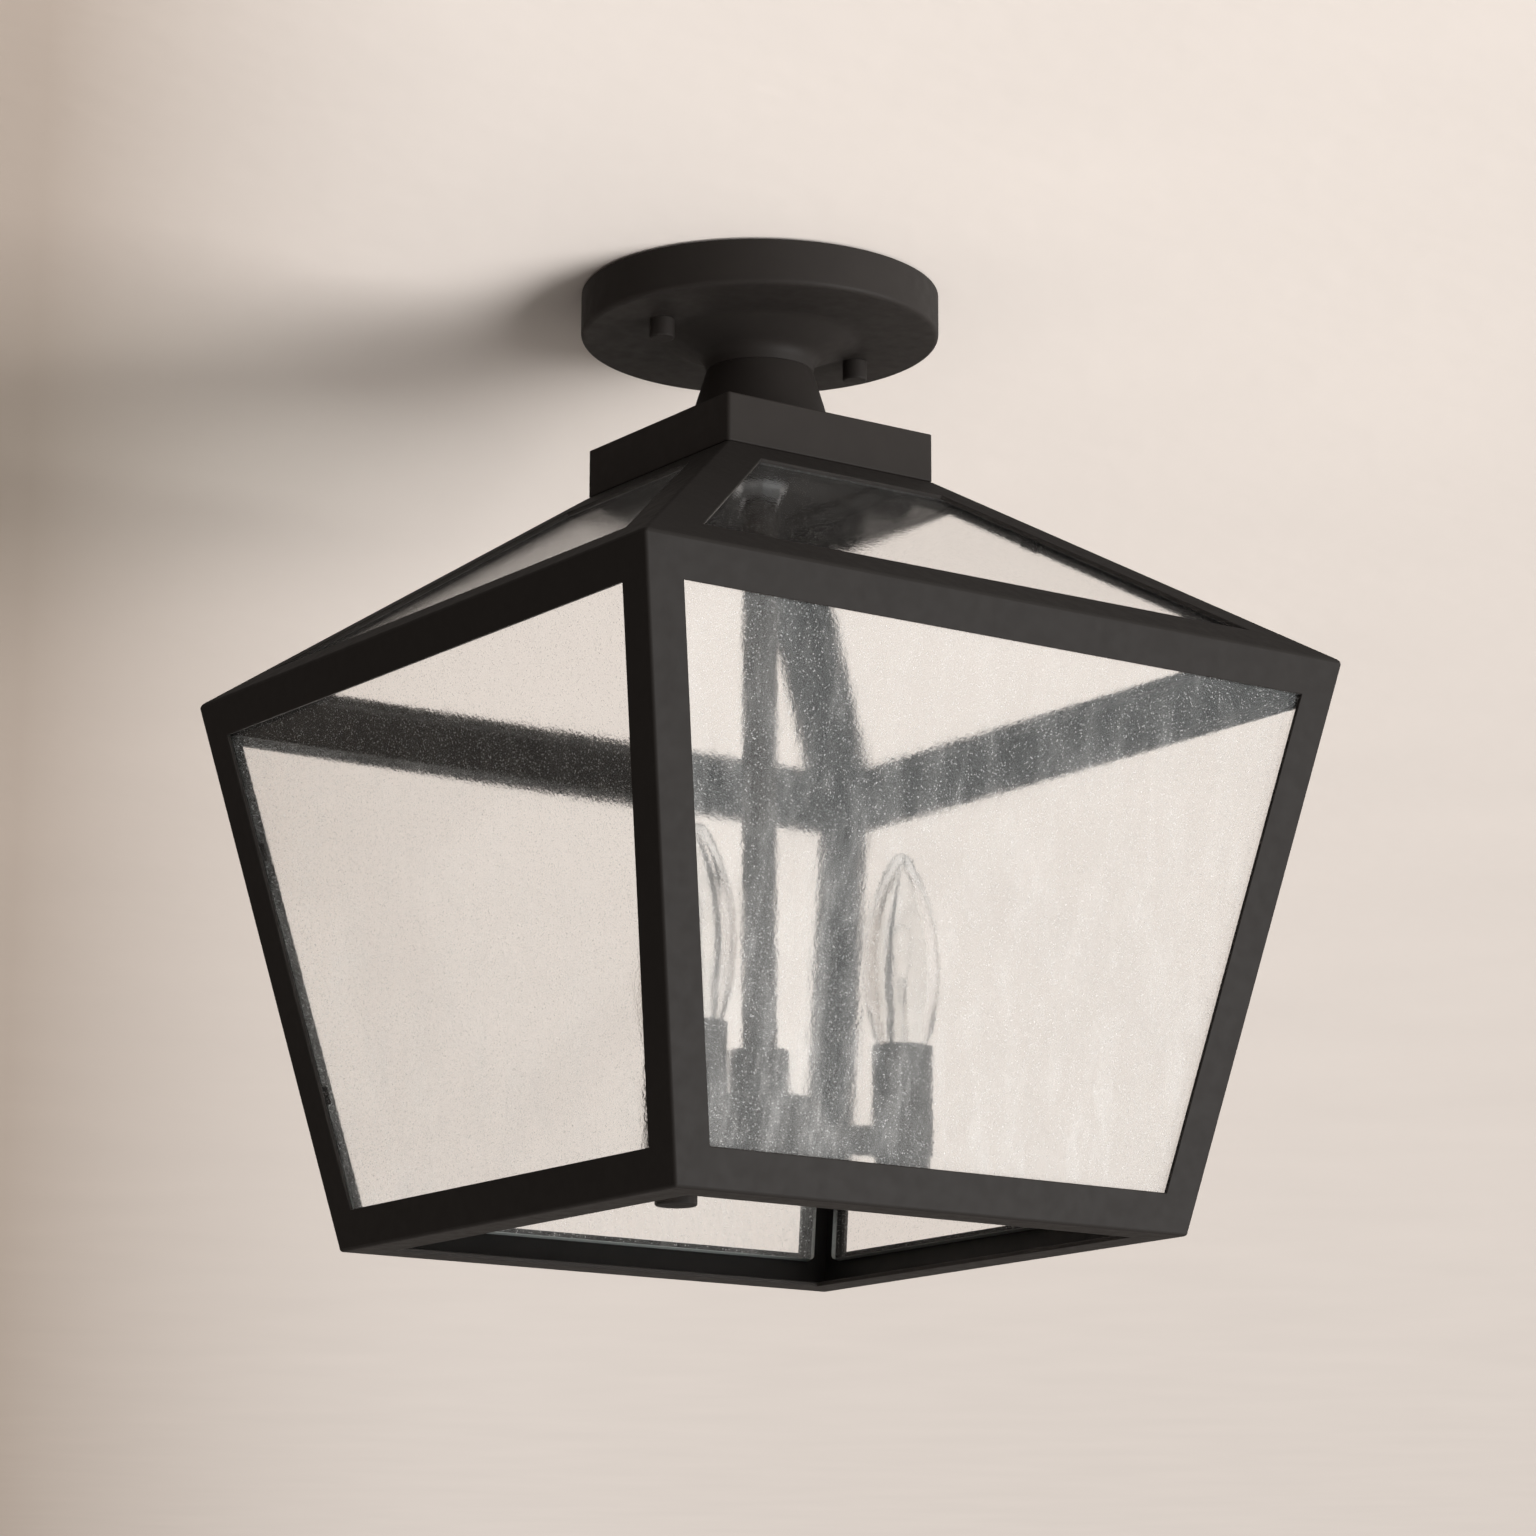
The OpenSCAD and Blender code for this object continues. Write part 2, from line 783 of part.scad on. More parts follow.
hub_inner_r = hub_d / 2 - hub_wall;

module hub_body() {
    color(coat)
        difference() {
            rotate_extrude()
                difference() {
                    translate([0, z_hub_end])
                        square([hub_d / 2, hub_h]);
                    corner_nib([hub_d / 2, z_hub], [0, z_hub], [hub_d / 2, z_hub_end], hub_round);
                    translate([0, z_hub_end - past])
                        square([hub_inner_r, hub_h - hub_wall + past]);
                    translate([0, z_hub_end])
                        square([pipe_d / 2 + pipe_gap, hub_h + past]);
                }
            for (i = [0:candles - 1])
                at_candle(i)
                    arm_rod(hub_inner_r - past, hub_d / 2 + past, arm_d / 2 + arm_gap);
        }
}

module hub_cover() {
    color(coat)
        rotate_extrude()
            difference() {
                union() {
                    translate([0, z_hub_end - cover_t])
                        square([hub_d / 2, cover_t]);
                    translate([hub_inner_r - pipe_gap - cover_t, z_hub_end - cover_t])
                        square([cover_t, cover_t + cover_rim_h]);
                }
                corner_nib([hub_d / 2, z_hub_end - cover_t], [0, z_hub_end - cover_t],
                    [hub_d / 2, z_hub_end], cover_t / 2);
            }
}

// ---- Arms and candles ----

arm_end_r = candle_r - cup_bore / 2 - arm_wall;

module arm(i) {
    color(coat)
        at_candle(i)
            difference() {
                arm_rod(hub_inner_r, arm_end_r, arm_d / 2);
                arm_rod(hub_inner_r - past, arm_end_r + past, arm_d / 2 - arm_wall);
            }
}

module candle_cup(i) {
    sleeve_r = sleeve_d / 2;
    foot_r = cup_foot_d / 2;
    color(coat)
        at_candle(i)
            difference() {
                translate([candle_r, 0, 0])
                    rotate_extrude()
                        difference() {
                            union() {
                                translate([0, z_cup_step])
                                    square([sleeve_r, z_cup - z_cup_step]);
                                translate([0, z_cup_end])
                                    square([foot_r, z_cup - z_cup_end]);
                                translate([0, z_cup_end])
                                    square([pipe_d / 2, z_socket_floor - z_cup_end]);
                            }
                            corner_nib([foot_r, z_cup_end], [0, z_cup_end], [foot_r, z_cup],
                                cup_round);
                            translate([0, z_cup_end - past])
                                square([cup_bore / 2, z_socket_floor - z_cup_end + 2 * past]);
                        }
                arm_rod(candle_r - sleeve_r - past, candle_r, arm_d / 2 + arm_gap);
            }
}

module cup_nuts() {
    color(coat)
        for (i = [0:candles - 1])
            at_candle(i)
                translate([candle_r, 0, z_cup_end])
                    rotate_extrude()
                        difference() {
                            union() {
                                translate([0, -cup_nut_h])
                                    square([cup_nut_d / 2, cup_nut_h]);
                                translate([0, -cup_nut_h])
                                    square([cup_bore / 2 - pipe_gap, cup_nut_h + spigot_h]);
                            }
                            corner_nib([cup_nut_d / 2, -cup_nut_h], [0, -cup_nut_h],
                                [cup_nut_d / 2, 0], cup_round);
                        }
}

module sleeve(i) {
    color(coat)
        at_candle(i)
            translate([candle_r, 0, 0])
                pipe(z_cup, z_sleeve, sleeve_d, sleeve_d - 2 * sleeve_wall);
}

module socket(i) {
    color(socket_resin)
        at_candle(i)
            translate([candle_r, 0, 0])
                rotate_extrude()
                    difference() {
                        translate([0, z_socket_floor])
                            square([socket_d / 2, z_socket - z_socket_floor]);
                        translate([0, z_contact])
                            square([lamp_base_d / 2 + lamp_gap, socket_depth + past]);
                    }
}

// ---- Lamps ----

// Half section of the lamp glass, drawn smaller by the given wall
module lamp_half(inset)
    difference() {
        intersection() {
            translate([lamp_arc_x, lamp_belly])
                circle(lamp_arc_r - inset, $fn = 360);
            square([lamp_d, 2 * lamp_tip_z]);
        }
        difference() {
            translate([-past, lamp_tangent_z(inset)])
                square([lamp_d, 2 * lamp_tip_r]);
            translate([0, lamp_tip_z])
                circle(lamp_tip_r - inset);
        }
    }

module lamp_glass(i) {
    color(lamp_tint)
        at_candle(i)
            translate([candle_r, 0, z_lamp])
                rotate_extrude()
                    difference() {
                        lamp_half(0);
                        lamp_half(lamp_wall);
                    }
}

module lamp_base(i) {
    shell_r = lamp_base_d / 2;
    color(brass)
        at_candle(i)
            translate([candle_r, 0, z_contact])
                rotate_extrude()
                    polygon([
                        [0, 0],
                        [contact_d / 2, 0],
                        [contact_d / 2, contact_h],
                        [shell_r - 1, contact_h + insulator_h],
                        [shell_r, contact_h + insulator_h + 1],
                        [shell_r, lamp_base_h],
                        [0, lamp_base_h]
                    ]);
}

// Glass mount: a flare on the base that narrows to a rod with a round end
module lamp_mount(i) {
    flare_r = lamp_base_d / 2 - 2 * lamp_wall;
    rod_r = 2;
    flare_h = 9;
    color(lamp_tint)
        at_candle(i)
            translate([candle_r, 0, z_lamp])
                rotate_extrude()
                    difference() {
                        polygon([
                            [0, 0],
                            [flare_r, 0],
                            [rod_r, flare_h],
                            [rod_r, lamp_mount_h],
                            [0, lamp_mount_h]
                        ]);
                        corner_nib([rod_r, lamp_mount_h], [0, lamp_mount_h], [rod_r, flare_h],
                            rod_r * 0.9);
                    }
}

// ---- The parts, one line each ----

mounting_plate();
mounting_studs();
ground_screw();
canopy();
neck();
cap();
top_plate();
center_pipe();
pipe_washers();
pipe_nuts();
thumb_nut(-1);  // thumb_nut_left
thumb_nut(1);  // thumb_nut_right
stem();
hub_pipe();
hub_collar();
hub_body();
hub_cover();
arm(0);  // arm_back
arm(1);  // arm_left
arm(2);  // arm_right
candle_cup(0);  // candle_cup_back
candle_cup(1);  // candle_cup_left
candle_cup(2);  // candle_cup_right
cup_nuts();
sleeve(0);  // sleeve_back
sleeve(1);  // sleeve_left
sleeve(2);  // sleeve_right
socket(0);  // socket_back
socket(1);  // socket_left
socket(2);  // socket_right
lamp_glass(0);  // lamp_glass_back
lamp_glass(1);  // lamp_glass_left
lamp_glass(2);  // lamp_glass_right
lamp_base(0);  // lamp_base_back
lamp_base(1);  // lamp_base_left
lamp_base(2);  // lamp_base_right
lamp_mount(0);  // lamp_mount_back
lamp_mount(1);  // lamp_mount_left
lamp_mount(2);  // lamp_mount_right
side_glass(FRONT);  // side_glass_front
side_glass(RIGHT);  // side_glass_right
side_glass(BACK);  // side_glass_back
side_glass(LEFT);  // side_glass_left
roof_glass(FRONT);  // roof_glass_front
roof_glass(RIGHT);  // roof_glass_right
roof_glass(BACK);  // roof_glass_back
roof_glass(LEFT);  // roof_glass_left
post(0);  // post_front_left
post(1);  // post_front_right
post(2);  // post_back_right
post(3);  // post_back_left
hip(0);  // hip_front_left
hip(1);  // hip_front_right
hip(2);  // hip_back_right
hip(3);  // hip_back_left
shoulder_bars();
base_bars();
top_bars();
glass_clips();
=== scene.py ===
"""Porch ceiling lantern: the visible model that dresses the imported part.

A tapered frame of powder-coated angle bars holds four seeded panes and a hipped roof of four
more. Above it stand a square cap, a bell-shaped neck and a round canopy. Inside, a stem carries
a hub with three arms, and a candle sleeve with a clear torpedo lamp on each arm.

Sizes in the classes are millimetres in the part's own frame: the origin is the middle of the
canopy's rim, in the plane of the ceiling, +Z is up and the front is -Y.
"""

import logging
import math
from dataclasses import dataclass, field
from enum import Enum
from typing import Iterable, Optional, Sequence

import bmesh
import bpy
import numpy as np
from mathutils import Matrix, Vector


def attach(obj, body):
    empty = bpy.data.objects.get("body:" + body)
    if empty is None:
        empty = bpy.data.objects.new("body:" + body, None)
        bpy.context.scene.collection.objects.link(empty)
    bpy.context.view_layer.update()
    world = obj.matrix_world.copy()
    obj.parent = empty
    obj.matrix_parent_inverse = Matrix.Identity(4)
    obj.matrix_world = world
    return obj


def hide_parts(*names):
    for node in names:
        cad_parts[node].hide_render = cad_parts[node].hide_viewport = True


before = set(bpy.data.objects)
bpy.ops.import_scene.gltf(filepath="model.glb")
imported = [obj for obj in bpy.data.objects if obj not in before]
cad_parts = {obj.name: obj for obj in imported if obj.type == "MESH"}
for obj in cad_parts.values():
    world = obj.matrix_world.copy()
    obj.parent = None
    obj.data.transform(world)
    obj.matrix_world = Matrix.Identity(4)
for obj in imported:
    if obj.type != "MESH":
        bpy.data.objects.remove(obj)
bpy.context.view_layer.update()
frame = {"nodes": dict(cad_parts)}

LOG = logging.getLogger("lantern")
Point2 = tuple[float, float]
Point3 = tuple[float, float, float]
Rgb = tuple[float, float, float]
MM = 0.001
TINY = 1e-6
FULL_TURN = 2 * math.pi
Loop = list[bmesh.types.BMVert]
BODY = "lantern"
CANDLE_R = 52.5
"""Distance of the candles from the lantern's axis, in millimetres."""
SQUARE = ((-1, -1), (1, -1), (1, 1), (-1, 1))
"""Signs of a square's corners, anticlockwise from the front left one."""
CORNERS = ("front_left", "front_right", "back_right", "back_left")
"""Names of the lantern's corners, in the same order."""
NOISE_SPAN: Point2 = (0.3, 0.7)
"""The numbers that most of a smooth noise lies between."""
WHITE: Rgb = (1.0, 1.0, 1.0)
UPWARD: Point3 = (0.0, 0.0, 1.0)
FLAT_WEIGHT = 80
"""Above 50, large faces count for more than small ones in the shading beside an edge."""


class Side(Enum):
    """The four glazed sides, counted anticlockwise from the front seen from above."""

    FRONT = 0
    RIGHT = 1
    BACK = 2
    LEFT = 3


class Candle(Enum):
    """The three candles, with the direction of each one's arm in degrees from +X."""

    BACK = 90.0
    LEFT = 210.0
    RIGHT = 330.0

    @property
    def word(self) -> str:
        """The candle's name as the part's nodes use it.

        Returns:
            The name in lower case.
        """
        return self.name.lower()

    @property
    def body(self) -> str:
        """The body that this candle's lamp moves with.

        Returns:
            The body's name.
        """
        return f"lamp_{self.word}"

    @property
    def turn(self) -> Matrix:
        """The turn from +X to the candle's arm.

        Returns:
            The turn.
        """
        return Matrix.Rotation(math.radians(self.value), 4, "Z")

    def place(self, z: float) -> Matrix:
        """Place of the candle's own axis.

        Args:
            z: Height of the place's origin.

        Returns:
            The place, in millimetres.
        """
        return self.turn @ Matrix.Translation((CANDLE_R, 0, z))


# ---- Levels and slopes -------------------------------------------------------------------


@dataclass(frozen=True)
class Levels:
    """Heights of the lantern's joints, in millimetres below the ceiling."""

    canopy_face: float = -17.0
    waist: float = -29.7
    cap: float = -57.0
    crown: float = -75.5
    shoulder: float = -150.5
    base: float = -359.0
    stem_top: float = -81.7
    hub_top: float = -306.4
    hub_end: float = -334.4
    arm: float = -320.5
    cup_top: float = -313.5
    cup_step: float = -326.2
    cup_end: float = -334.2
    sleeve_top: float = -285.8
    socket_top: float = -293.8
    contact: float = -309.8
    socket_floor: float = -311.8
    lamp: float = -293.2


LEVELS = Levels()


# ---- Node trees --------------------------------------------------------------------------


class Tree:
    """A small builder for one material's or the world's nodes."""

    def __init__(self, owner: bpy.types.ID) -> None:
        """Clears the owner's nodes.

        Args:
            owner: A material or a world.
        """
        owner.use_nodes = True
        self._end = "OutputWorld" if isinstance(owner, bpy.types.World) else "OutputMaterial"
        self.nodes = owner.node_tree.nodes
        self.links = owner.node_tree.links
        self.nodes.clear()
        self._place: Optional[bpy.types.NodeSocket] = None

    def add(self, kind: str, **settings: object) -> bpy.types.Node:
        """Adds a node.

        Args:
            kind: The node's type without its ShaderNode prefix.
            settings: Properties of the node.

        Returns:
            The new node.
        """
        node = self.nodes.new("ShaderNode" + kind)
        for name, value in settings.items():
            setattr(node, name, value)
        return node

    def put(self, target: bpy.types.NodeSocket, value: object) -> None:
        """Links a socket to the target, or writes a plain value on it.

        Args:
            target: An input socket.
            value: An output socket, a number or a tuple.
        """
        if isinstance(value, bpy.types.NodeSocket):
            self.links.new(value, target)
        else:
            target.default_value = value

    def place(self) -> bpy.types.NodeSocket:
        """The point on the piece, in metres in the part's frame.

        Returns:
            The point.
        """
        if self._place is None:
            self._place = self.add("TexCoord").outputs["Object"]
        return self._place

    def stretched(self, scale: Point3) -> bpy.types.NodeSocket:
        """The point on the piece, scaled by axis.

        Args:
            scale: Factor along X, Y and Z.

        Returns:
            The scaled point.
        """
        node = self.add("Mapping")
        self.put(node.inputs["Vector"], self.place())
        self.put(node.inputs["Scale"], scale)
        return node.outputs["Vector"]

    def noise(
        self, size_mm: float, detail: float = 2.0, at: Optional[bpy.types.NodeSocket] = None
    ) -> bpy.types.NodeSocket:
        """Smooth noise from 0 to 1.

        Args:
            size_mm: Width of one wave in millimetres.
            detail: Octaves of finer noise.
            at: The point, when it isn't the plain one.

        Returns:
            The noise.
        """
        node = self.add("TexNoise")
        self.put(node.inputs["Vector"], at if at is not None else self.place())
        self.put(node.inputs["Scale"], 1.0 / (size_mm * MM))
        self.put(node.inputs["Detail"], detail)
        return node.outputs["Fac"]

    def cells(
        self, size_mm: float, at: Optional[bpy.types.NodeSocket] = None
    ) -> bpy.types.NodeSocket:
        """Distance to the nearest of many scattered points, in units of their spacing.

        Args:
            size_mm: Mean spacing of the points in millimetres.
            at: The point, when it isn't the plain one.

        Returns:
            The distance.
        """
        node = self.add("TexVoronoi")
        self.put(node.inputs["Vector"], at if at is not None else self.place())
        self.put(node.inputs["Scale"], 1.0 / (size_mm * MM))
        return node.outputs["Distance"]

    def remap(
        self, value: bpy.types.NodeSocket, source: Point2, target: Point2, smooth: bool = False
    ) -> bpy.types.NodeSocket:
        """Maps one range of numbers to another, and clamps.

        Args:
            value: The number.
            source: The range it comes in.
            target: The range it goes to.
            smooth: Whether the middle is steeper than the ends.

        Returns:
            The mapped number.
        """
        node = self.add("MapRange", interpolation_type="SMOOTHSTEP" if smooth else "LINEAR")
        self.put(node.inputs["Value"], value)
        for name, number in zip(("From Min", "From Max", "To Min", "To Max"), source + target):
            self.put(node.inputs[name], number)
        return node.outputs["Result"]

    def math(self, operation: str, *values: object) -> bpy.types.NodeSocket:
        """One sum or product.

        Args:
            operation: The name of the Math node's operation.
            values: Sockets or numbers.

        Returns:
            The result.
        """
        node = self.add("Math", operation=operation)
        for target, value in zip(node.inputs, values):
            self.put(target, value)
        return node.outputs["Value"]

    def dot(self, vector: bpy.types.NodeSocket, direction: Point3) -> bpy.types.NodeSocket:
        """How far a vector goes along a direction.

        Args:
            vector: The vector.
            direction: The direction, of length 1.

        Returns:
            The length.
        """
        node = self.add("VectorMath", operation="DOT_PRODUCT")
        self.put(node.inputs[0], vector)
        self.put(node.inputs[1], direction)
        return node.outputs["Value"]

    def blend(self, share: object, low: Rgb, high: Rgb) -> bpy.types.NodeSocket:
        """A colour between two colours.

        Args:
            share: Socket or number, 0 for the first colour and 1 for the second.
            low: The first colour.
            high: The second colour.

        Returns:
            The mixed colour.
        """
        colour_a, colour_b, colour_out = 6, 7, 2
        node = self.add("Mix", data_type="RGBA")
        self.put(node.inputs[0], share)
        self.put(node.inputs[colour_a], (*low, 1.0))
        self.put(node.inputs[colour_b], (*high, 1.0))
        return node.outputs[colour_out]

    def looked_at(self) -> bpy.types.NodeSocket:
        """Tells rays of the camera, straight or through glass, from the rest.

        Returns:
            One on the camera's rays and nought on the others.
        """
        path = self.add("LightPath")
        straight, through = path.outputs["Is Camera Ray"], path.outputs["Is Transmission Ray"]
        return self.math("MAXIMUM", straight, through)

    def bump(
        self,
        height: bpy.types.NodeSocket,
        depth_mm: float,
        under: Optional[bpy.types.NodeSocket] = None,
    ) -> bpy.types.NodeSocket:
        """A relief.

        Args:
            height: Height from 0 to 1.
            depth_mm: What 1 stands for, in millimetres.
            under: A relief that this one lies on.

        Returns:
            The surface direction.
        """
        node = self.add("Bump")
        self.put(node.inputs["Height"], height)
        self.put(node.inputs["Strength"], 1.0)
        self.put(node.inputs["Distance"], depth_mm * MM)
        if under is not None:
            self.put(node.inputs["Normal"], under)
        return node.outputs["Normal"]

    def spread(
        self, size_mm: float, target: Point2, detail: float = 2.0
    ) -> bpy.types.NodeSocket:
        """Smooth noise brought to a range of numbers.

        Args:
            size_mm: Width of one wave in millimetres.
            target: The range.
            detail: Octaves of finer noise.

        Returns:
            The number.
        """
        return self.remap(self.noise(size_mm, detail), NOISE_SPAN, target)

    def principled(
        self,
        colour: bpy.types.NodeSocket,
        rough: bpy.types.NodeSocket,
        relief: bpy.types.NodeSocket,
    ) -> bpy.types.Node:
        """Adds the main shader of a surface.

        Args:
            colour: Its colour.
            rough: Its roughness.
            relief: Its surface direction.

        Returns:
            The shader's node.
        """
        skin = self.add("BsdfPrincipled")
        self.put(skin.inputs["Base Color"], colour)
        self.put(skin.inputs["Roughness"], rough)
        self.put(skin.inputs["Normal"], relief)
        return skin

    def mix(self, share: object, first: bpy.types.Node, second: bpy.types.Node) -> None:
        """Ends the tree with a mix of two shaders.

        Args:
            share: Socket or number, 0 for the first shader and 1 for the second.
            first: The first shader.
            second: The second shader.
        """
        node = self.add("MixShader")
        self.put(node.inputs[0], share)
        self.put(node.inputs[1], first.outputs[0])
        self.put(node.inputs[2], second.outputs[0])
        self.surface(node.outputs["Shader"])

    def surface(self, shader: bpy.types.NodeSocket) -> None:
        """Ends the tree.

        Args:
            shader: The finished shader.
        """
        end = self.add(self._end)
        self.put(end.inputs["Surface"], shader)


# ---- Finishes ----------------------------------------------------------------------------


@dataclass(frozen=True)
class Finish:
    """What every finish has: a name, and one material made the first time it is asked for."""

    name: str

    def material(self) -> bpy.types.Material:
        """The finish's material, which is made the first time.

        Returns:
            The material.
        """
        label = f"look_{self.name}"
        found = bpy.data.materials.get(label)
        if found is None:
            found = bpy.data.materials.new(label)
            self.fill(Tree(found))
        return found

    def fill(self, tree: Tree) -> None:
        """Builds the nodes.

        Args:
            tree: The empty tree.
        """
        raise NotImplementedError

    def dress(self, piece: bpy.types.Object) -> bpy.types.Object:
        """Gives a piece this finish as its first one.

        Args:
            piece: The piece.

        Returns:
            The same piece.
        """
        if piece.data.materials:
            piece.data.materials[0] = self.material()
        else:
            piece.data.materials.append(self.material())
        return piece


@dataclass(frozen=True)
class PowderCoat(Finish):
    """Satin powder coat: a fine pebbled skin over metal."""

    dark: Rgb = (0.027, 0.0235, 0.022)
    light: Rgb = (0.039, 0.0345, 0.032)
    gloss: float = 0.22
    rough: Point2 = (0.44, 0.54)
    mottle_mm: float = 14.0
    mottle_share: float = 0.6
    grain_mm: float = 0.35
    grain_share: float = 0.4
    pebble_mm: float = 0.9
    pebble_depth_mm: float = 0.012
    wave_mm: float = 7.0
    wave_depth_mm: float = 0.02
    sheen_mm: float = 5.0

    def fill(self, tree: Tree) -> None:
        """Builds the coat: mottled tone, uneven sheen and two sizes of pebble.

        Args:
            tree: The empty tree.
        """
        mottle = tree.math("MULTIPLY", tree.noise(self.mottle_mm, 3.0), self.mottle_share)
        grain = tree.math("MULTIPLY", tree.noise(self.grain_mm), self.grain_share)
        colour = tree.blend(tree.math("ADD", mottle, grain), self.dark, self.light)
        pebble = tree.bump(tree.noise(self.pebble_mm), self.pebble_depth_mm)
        wave = tree.bump(tree.noise(self.wave_mm, 1.0), self.wave_depth_mm, pebble)
        skin = tree.principled(colour, tree.spread(self.sheen_mm, self.rough), wave)
        skin.inputs["Specular IOR Level"].default_value = self.gloss
        tree.surface(skin.outputs["BSDF"])


@dataclass(frozen=True)
class PlatedMetal(Finish):
    """Plated or bare metal with a fine grain."""

    dark: Rgb = (0.42, 0.43, 0.44)
    light: Rgb = (0.62, 0.63, 0.64)
    rough: Point2 = (0.28, 0.46)
    patch_mm: float = 3.0
    smear_mm: float = 1.5
    grain_mm: float = 0.5
    grain_depth_mm: float = 0.01

    def fill(self, tree: Tree) -> None:
        """Builds the plating: crystal patches, fine grain and uneven shine.

        Args:
            tree: The empty tree.
        """
        colour = tree.blend(tree.cells(self.patch_mm), self.dark, self.light)
        grain = tree.bump(tree.noise(self.grain_mm, 3.0), self.grain_depth_mm)
        skin = tree.principled(colour, tree.spread(self.smear_mm, self.rough, 3.0), grain)
        skin.inputs["Metallic"].default_value = 1.0
        tree.surface(skin.outputs["BSDF"])


@dataclass(frozen=True)
class MouldedResin(Finish):
    """Moulded or painted surface with a faint flow and small pits."""

    dark: Rgb = (0.70, 0.66, 0.57)
    light: Rgb = (0.80, 0.77, 0.69)
    rough: Point2 = (0.38, 0.55)
    flow_mm: float = 3.0
    sheen_mm: float = 1.0
    pit_mm: float = 0.6
    pit_depth_mm: float = 0.015

    def fill(self, tree: Tree) -> None:
        """Builds the resin.

        Args:
            tree: The empty tree.
        """
        colour = tree.blend(tree.noise(self.flow_mm, 3.0), self.dark, self.light)
        pits = tree.bump(tree.noise(self.pit_mm), self.pit_depth_mm)
        skin = tree.principled(colour, tree.spread(self.sheen_mm, self.rough), pits)
        tree.surface(skin.outputs["BSDF"])


@dataclass(frozen=True)
class ClearGlass(Finish):
    """Glass that light passes: the shadow of it stays faint."""

    tint: Rgb = (0.985, 0.99, 0.988)
    shade: Rgb = (0.90, 0.91, 0.905)
    index: float = 1.5
    sheen: Rgb = WHITE
    tint_mm: float = 9.0
    polish_mm: float = 4.0
    polish: Point2 = (0.0, 0.02)
    swell_mm: float = 6.0
    swell_depth_mm: float = 0.01

    def fill(self, tree: Tree) -> None:
        """Builds the glass.

        Args:
            tree: The empty tree.
        """
        skin = self.grain(tree)
        skin.inputs["IOR"].default_value = self.index
        skin.inputs["Specular Tint"].default_value = (*self.sheen, 1.0)
        clear = tree.add("BsdfTransparent")
        clear.inputs["Color"].default_value = (*self.shade, 1.0)
        tree.mix(tree.add("LightPath").outputs["Is Shadow Ray"], skin, clear)

    def grain(self, tree: Tree) -> bpy.types.Node:
        """Adds the main shader of plain blown glass.

        Args:
            tree: The tree.

        Returns:
            The shader's node.
        """
        colour = tree.blend(tree.noise(self.tint_mm), self.tint, WHITE)
        swell = tree.bump(tree.noise(self.swell_mm, 1.0), self.swell_depth_mm)
        skin = tree.principled(colour, tree.spread(self.polish_mm, self.polish), swell)
        skin.inputs["Transmission Weight"].default_value = 1.0
        return skin


@dataclass(frozen=True)
class SeededGlass(ClearGlass):
    """Seeded pane glass: pale bubbles, fine waves, and a milky share that grows down the pane and
    paints the reflection veil of the bright key side.
    """

    index: float = 1.33
    sheen: Rgb = (0.90, 0.98, 1.0)
    seed_mm: float = 1.35
    seed_r: Point2 = (0.13, 0.22)
    seed_share: float = 0.42
    tint_mm: float = 20.0
    rough: float = 0.08
    rough_spread: Point2 = (0.6, 1.3)
    # Share of milky glass at the foot, the shoulder and on the roof: painted reflection veil.
    painted_veil_low: float = 0.085
    painted_veil_high: float = 0.034
    painted_veil_roof: float = 0.006
    roof_fade_mm: float = 4.0
    cloud_mm: float = 9.0
    cloud_gain: Point2 = (0.55, 1.5)
    smear_mm: float = 2.2
    smear_gain: Point2 = (0.7, 1.5)
    streak: Point3 = (1.0, 1.0, 0.25)
    wave_mm: float = 3.2
    wave_depth_mm: float = 0.016
    ripple_mm: float = 1.3
    ripple_depth_mm: float = 0.014

    def painted_veil(self, tree: Tree, along: bpy.types.NodeSocket) -> bpy.types.NodeSocket:
        """The share of milky glass that paints the reflection veil of the bright key side: it falls
        with height, drops to a trace on the roof, and is clouded and smeared.

        Args:
            tree: The tree.
            along: The point on the pane, drawn out up and down.

        Returns:
            The share.
        """
        height = tree.add("SeparateXYZ")
        tree.put(height.inputs[0], tree.place())
        side = (LEVELS.base * MM, LEVELS.shoulder * MM)
        eave = (LEVELS.shoulder * MM, (LEVELS.shoulder + self.roof_fade_mm) * MM)
        roof = (1.0, self.painted_veil_roof / self.painted_veil_high)
        level = tree.remap(height.outputs["Z"], side, (self.painted_veil_low, self.painted_veil_high), True)
        level = tree.math("MULTIPLY", level, tree.remap(height.outputs["Z"], eave, roof, True))
        cloud = tree.noise(self.cloud_mm, 3.0, along)
        cloud = tree.remap(cloud, (0.42, 0.68), self.cloud_gain, True)
        smear = tree.noise(self.smear_mm, 2.0, along)
        smear = tree.remap(smear, (0.4, 0.7), self.smear_gain, True)
        return tree.math("MULTIPLY", tree.math("MULTIPLY", level, cloud), smear)

    def grain(self, tree: Tree) -> bpy.types.Node:
        """Adds the main shader with the bubbles, the painted reflection veil and the waves.

        Args:
            tree: The tree.

        Returns:
            The shader's node.
        """
        along = tree.stretched(self.streak)
        blur = (self.rough * self.rough_spread[0], self.rough * self.rough_spread[1])
        wave = tree.bump(tree.noise(self.wave_mm, 1.0, along), self.wave_depth_mm)
        skin = tree.principled(
            tree.blend(tree.noise(self.tint_mm), self.tint, WHITE),
            tree.remap(tree.noise(5.0, 2.0, along), (0.35, 0.7), blur),
            tree.bump(tree.noise(self.ripple_mm), self.ripple_depth_mm, wave),
        )
        seeds = tree.remap(tree.cells(self.seed_mm), self.seed_r, (1.0, 0.0), True)
        milk = tree.math("MULTIPLY", seeds, self.seed_share)
        # The painted reflection veil and the pale bubbles together make the glass milky.
        share = tree.math("ADD", self.painted_veil(tree, along), milk)
        tree.put(skin.inputs["Transmission Weight"], tree.math("SUBTRACT", 1.0, share))
        return skin


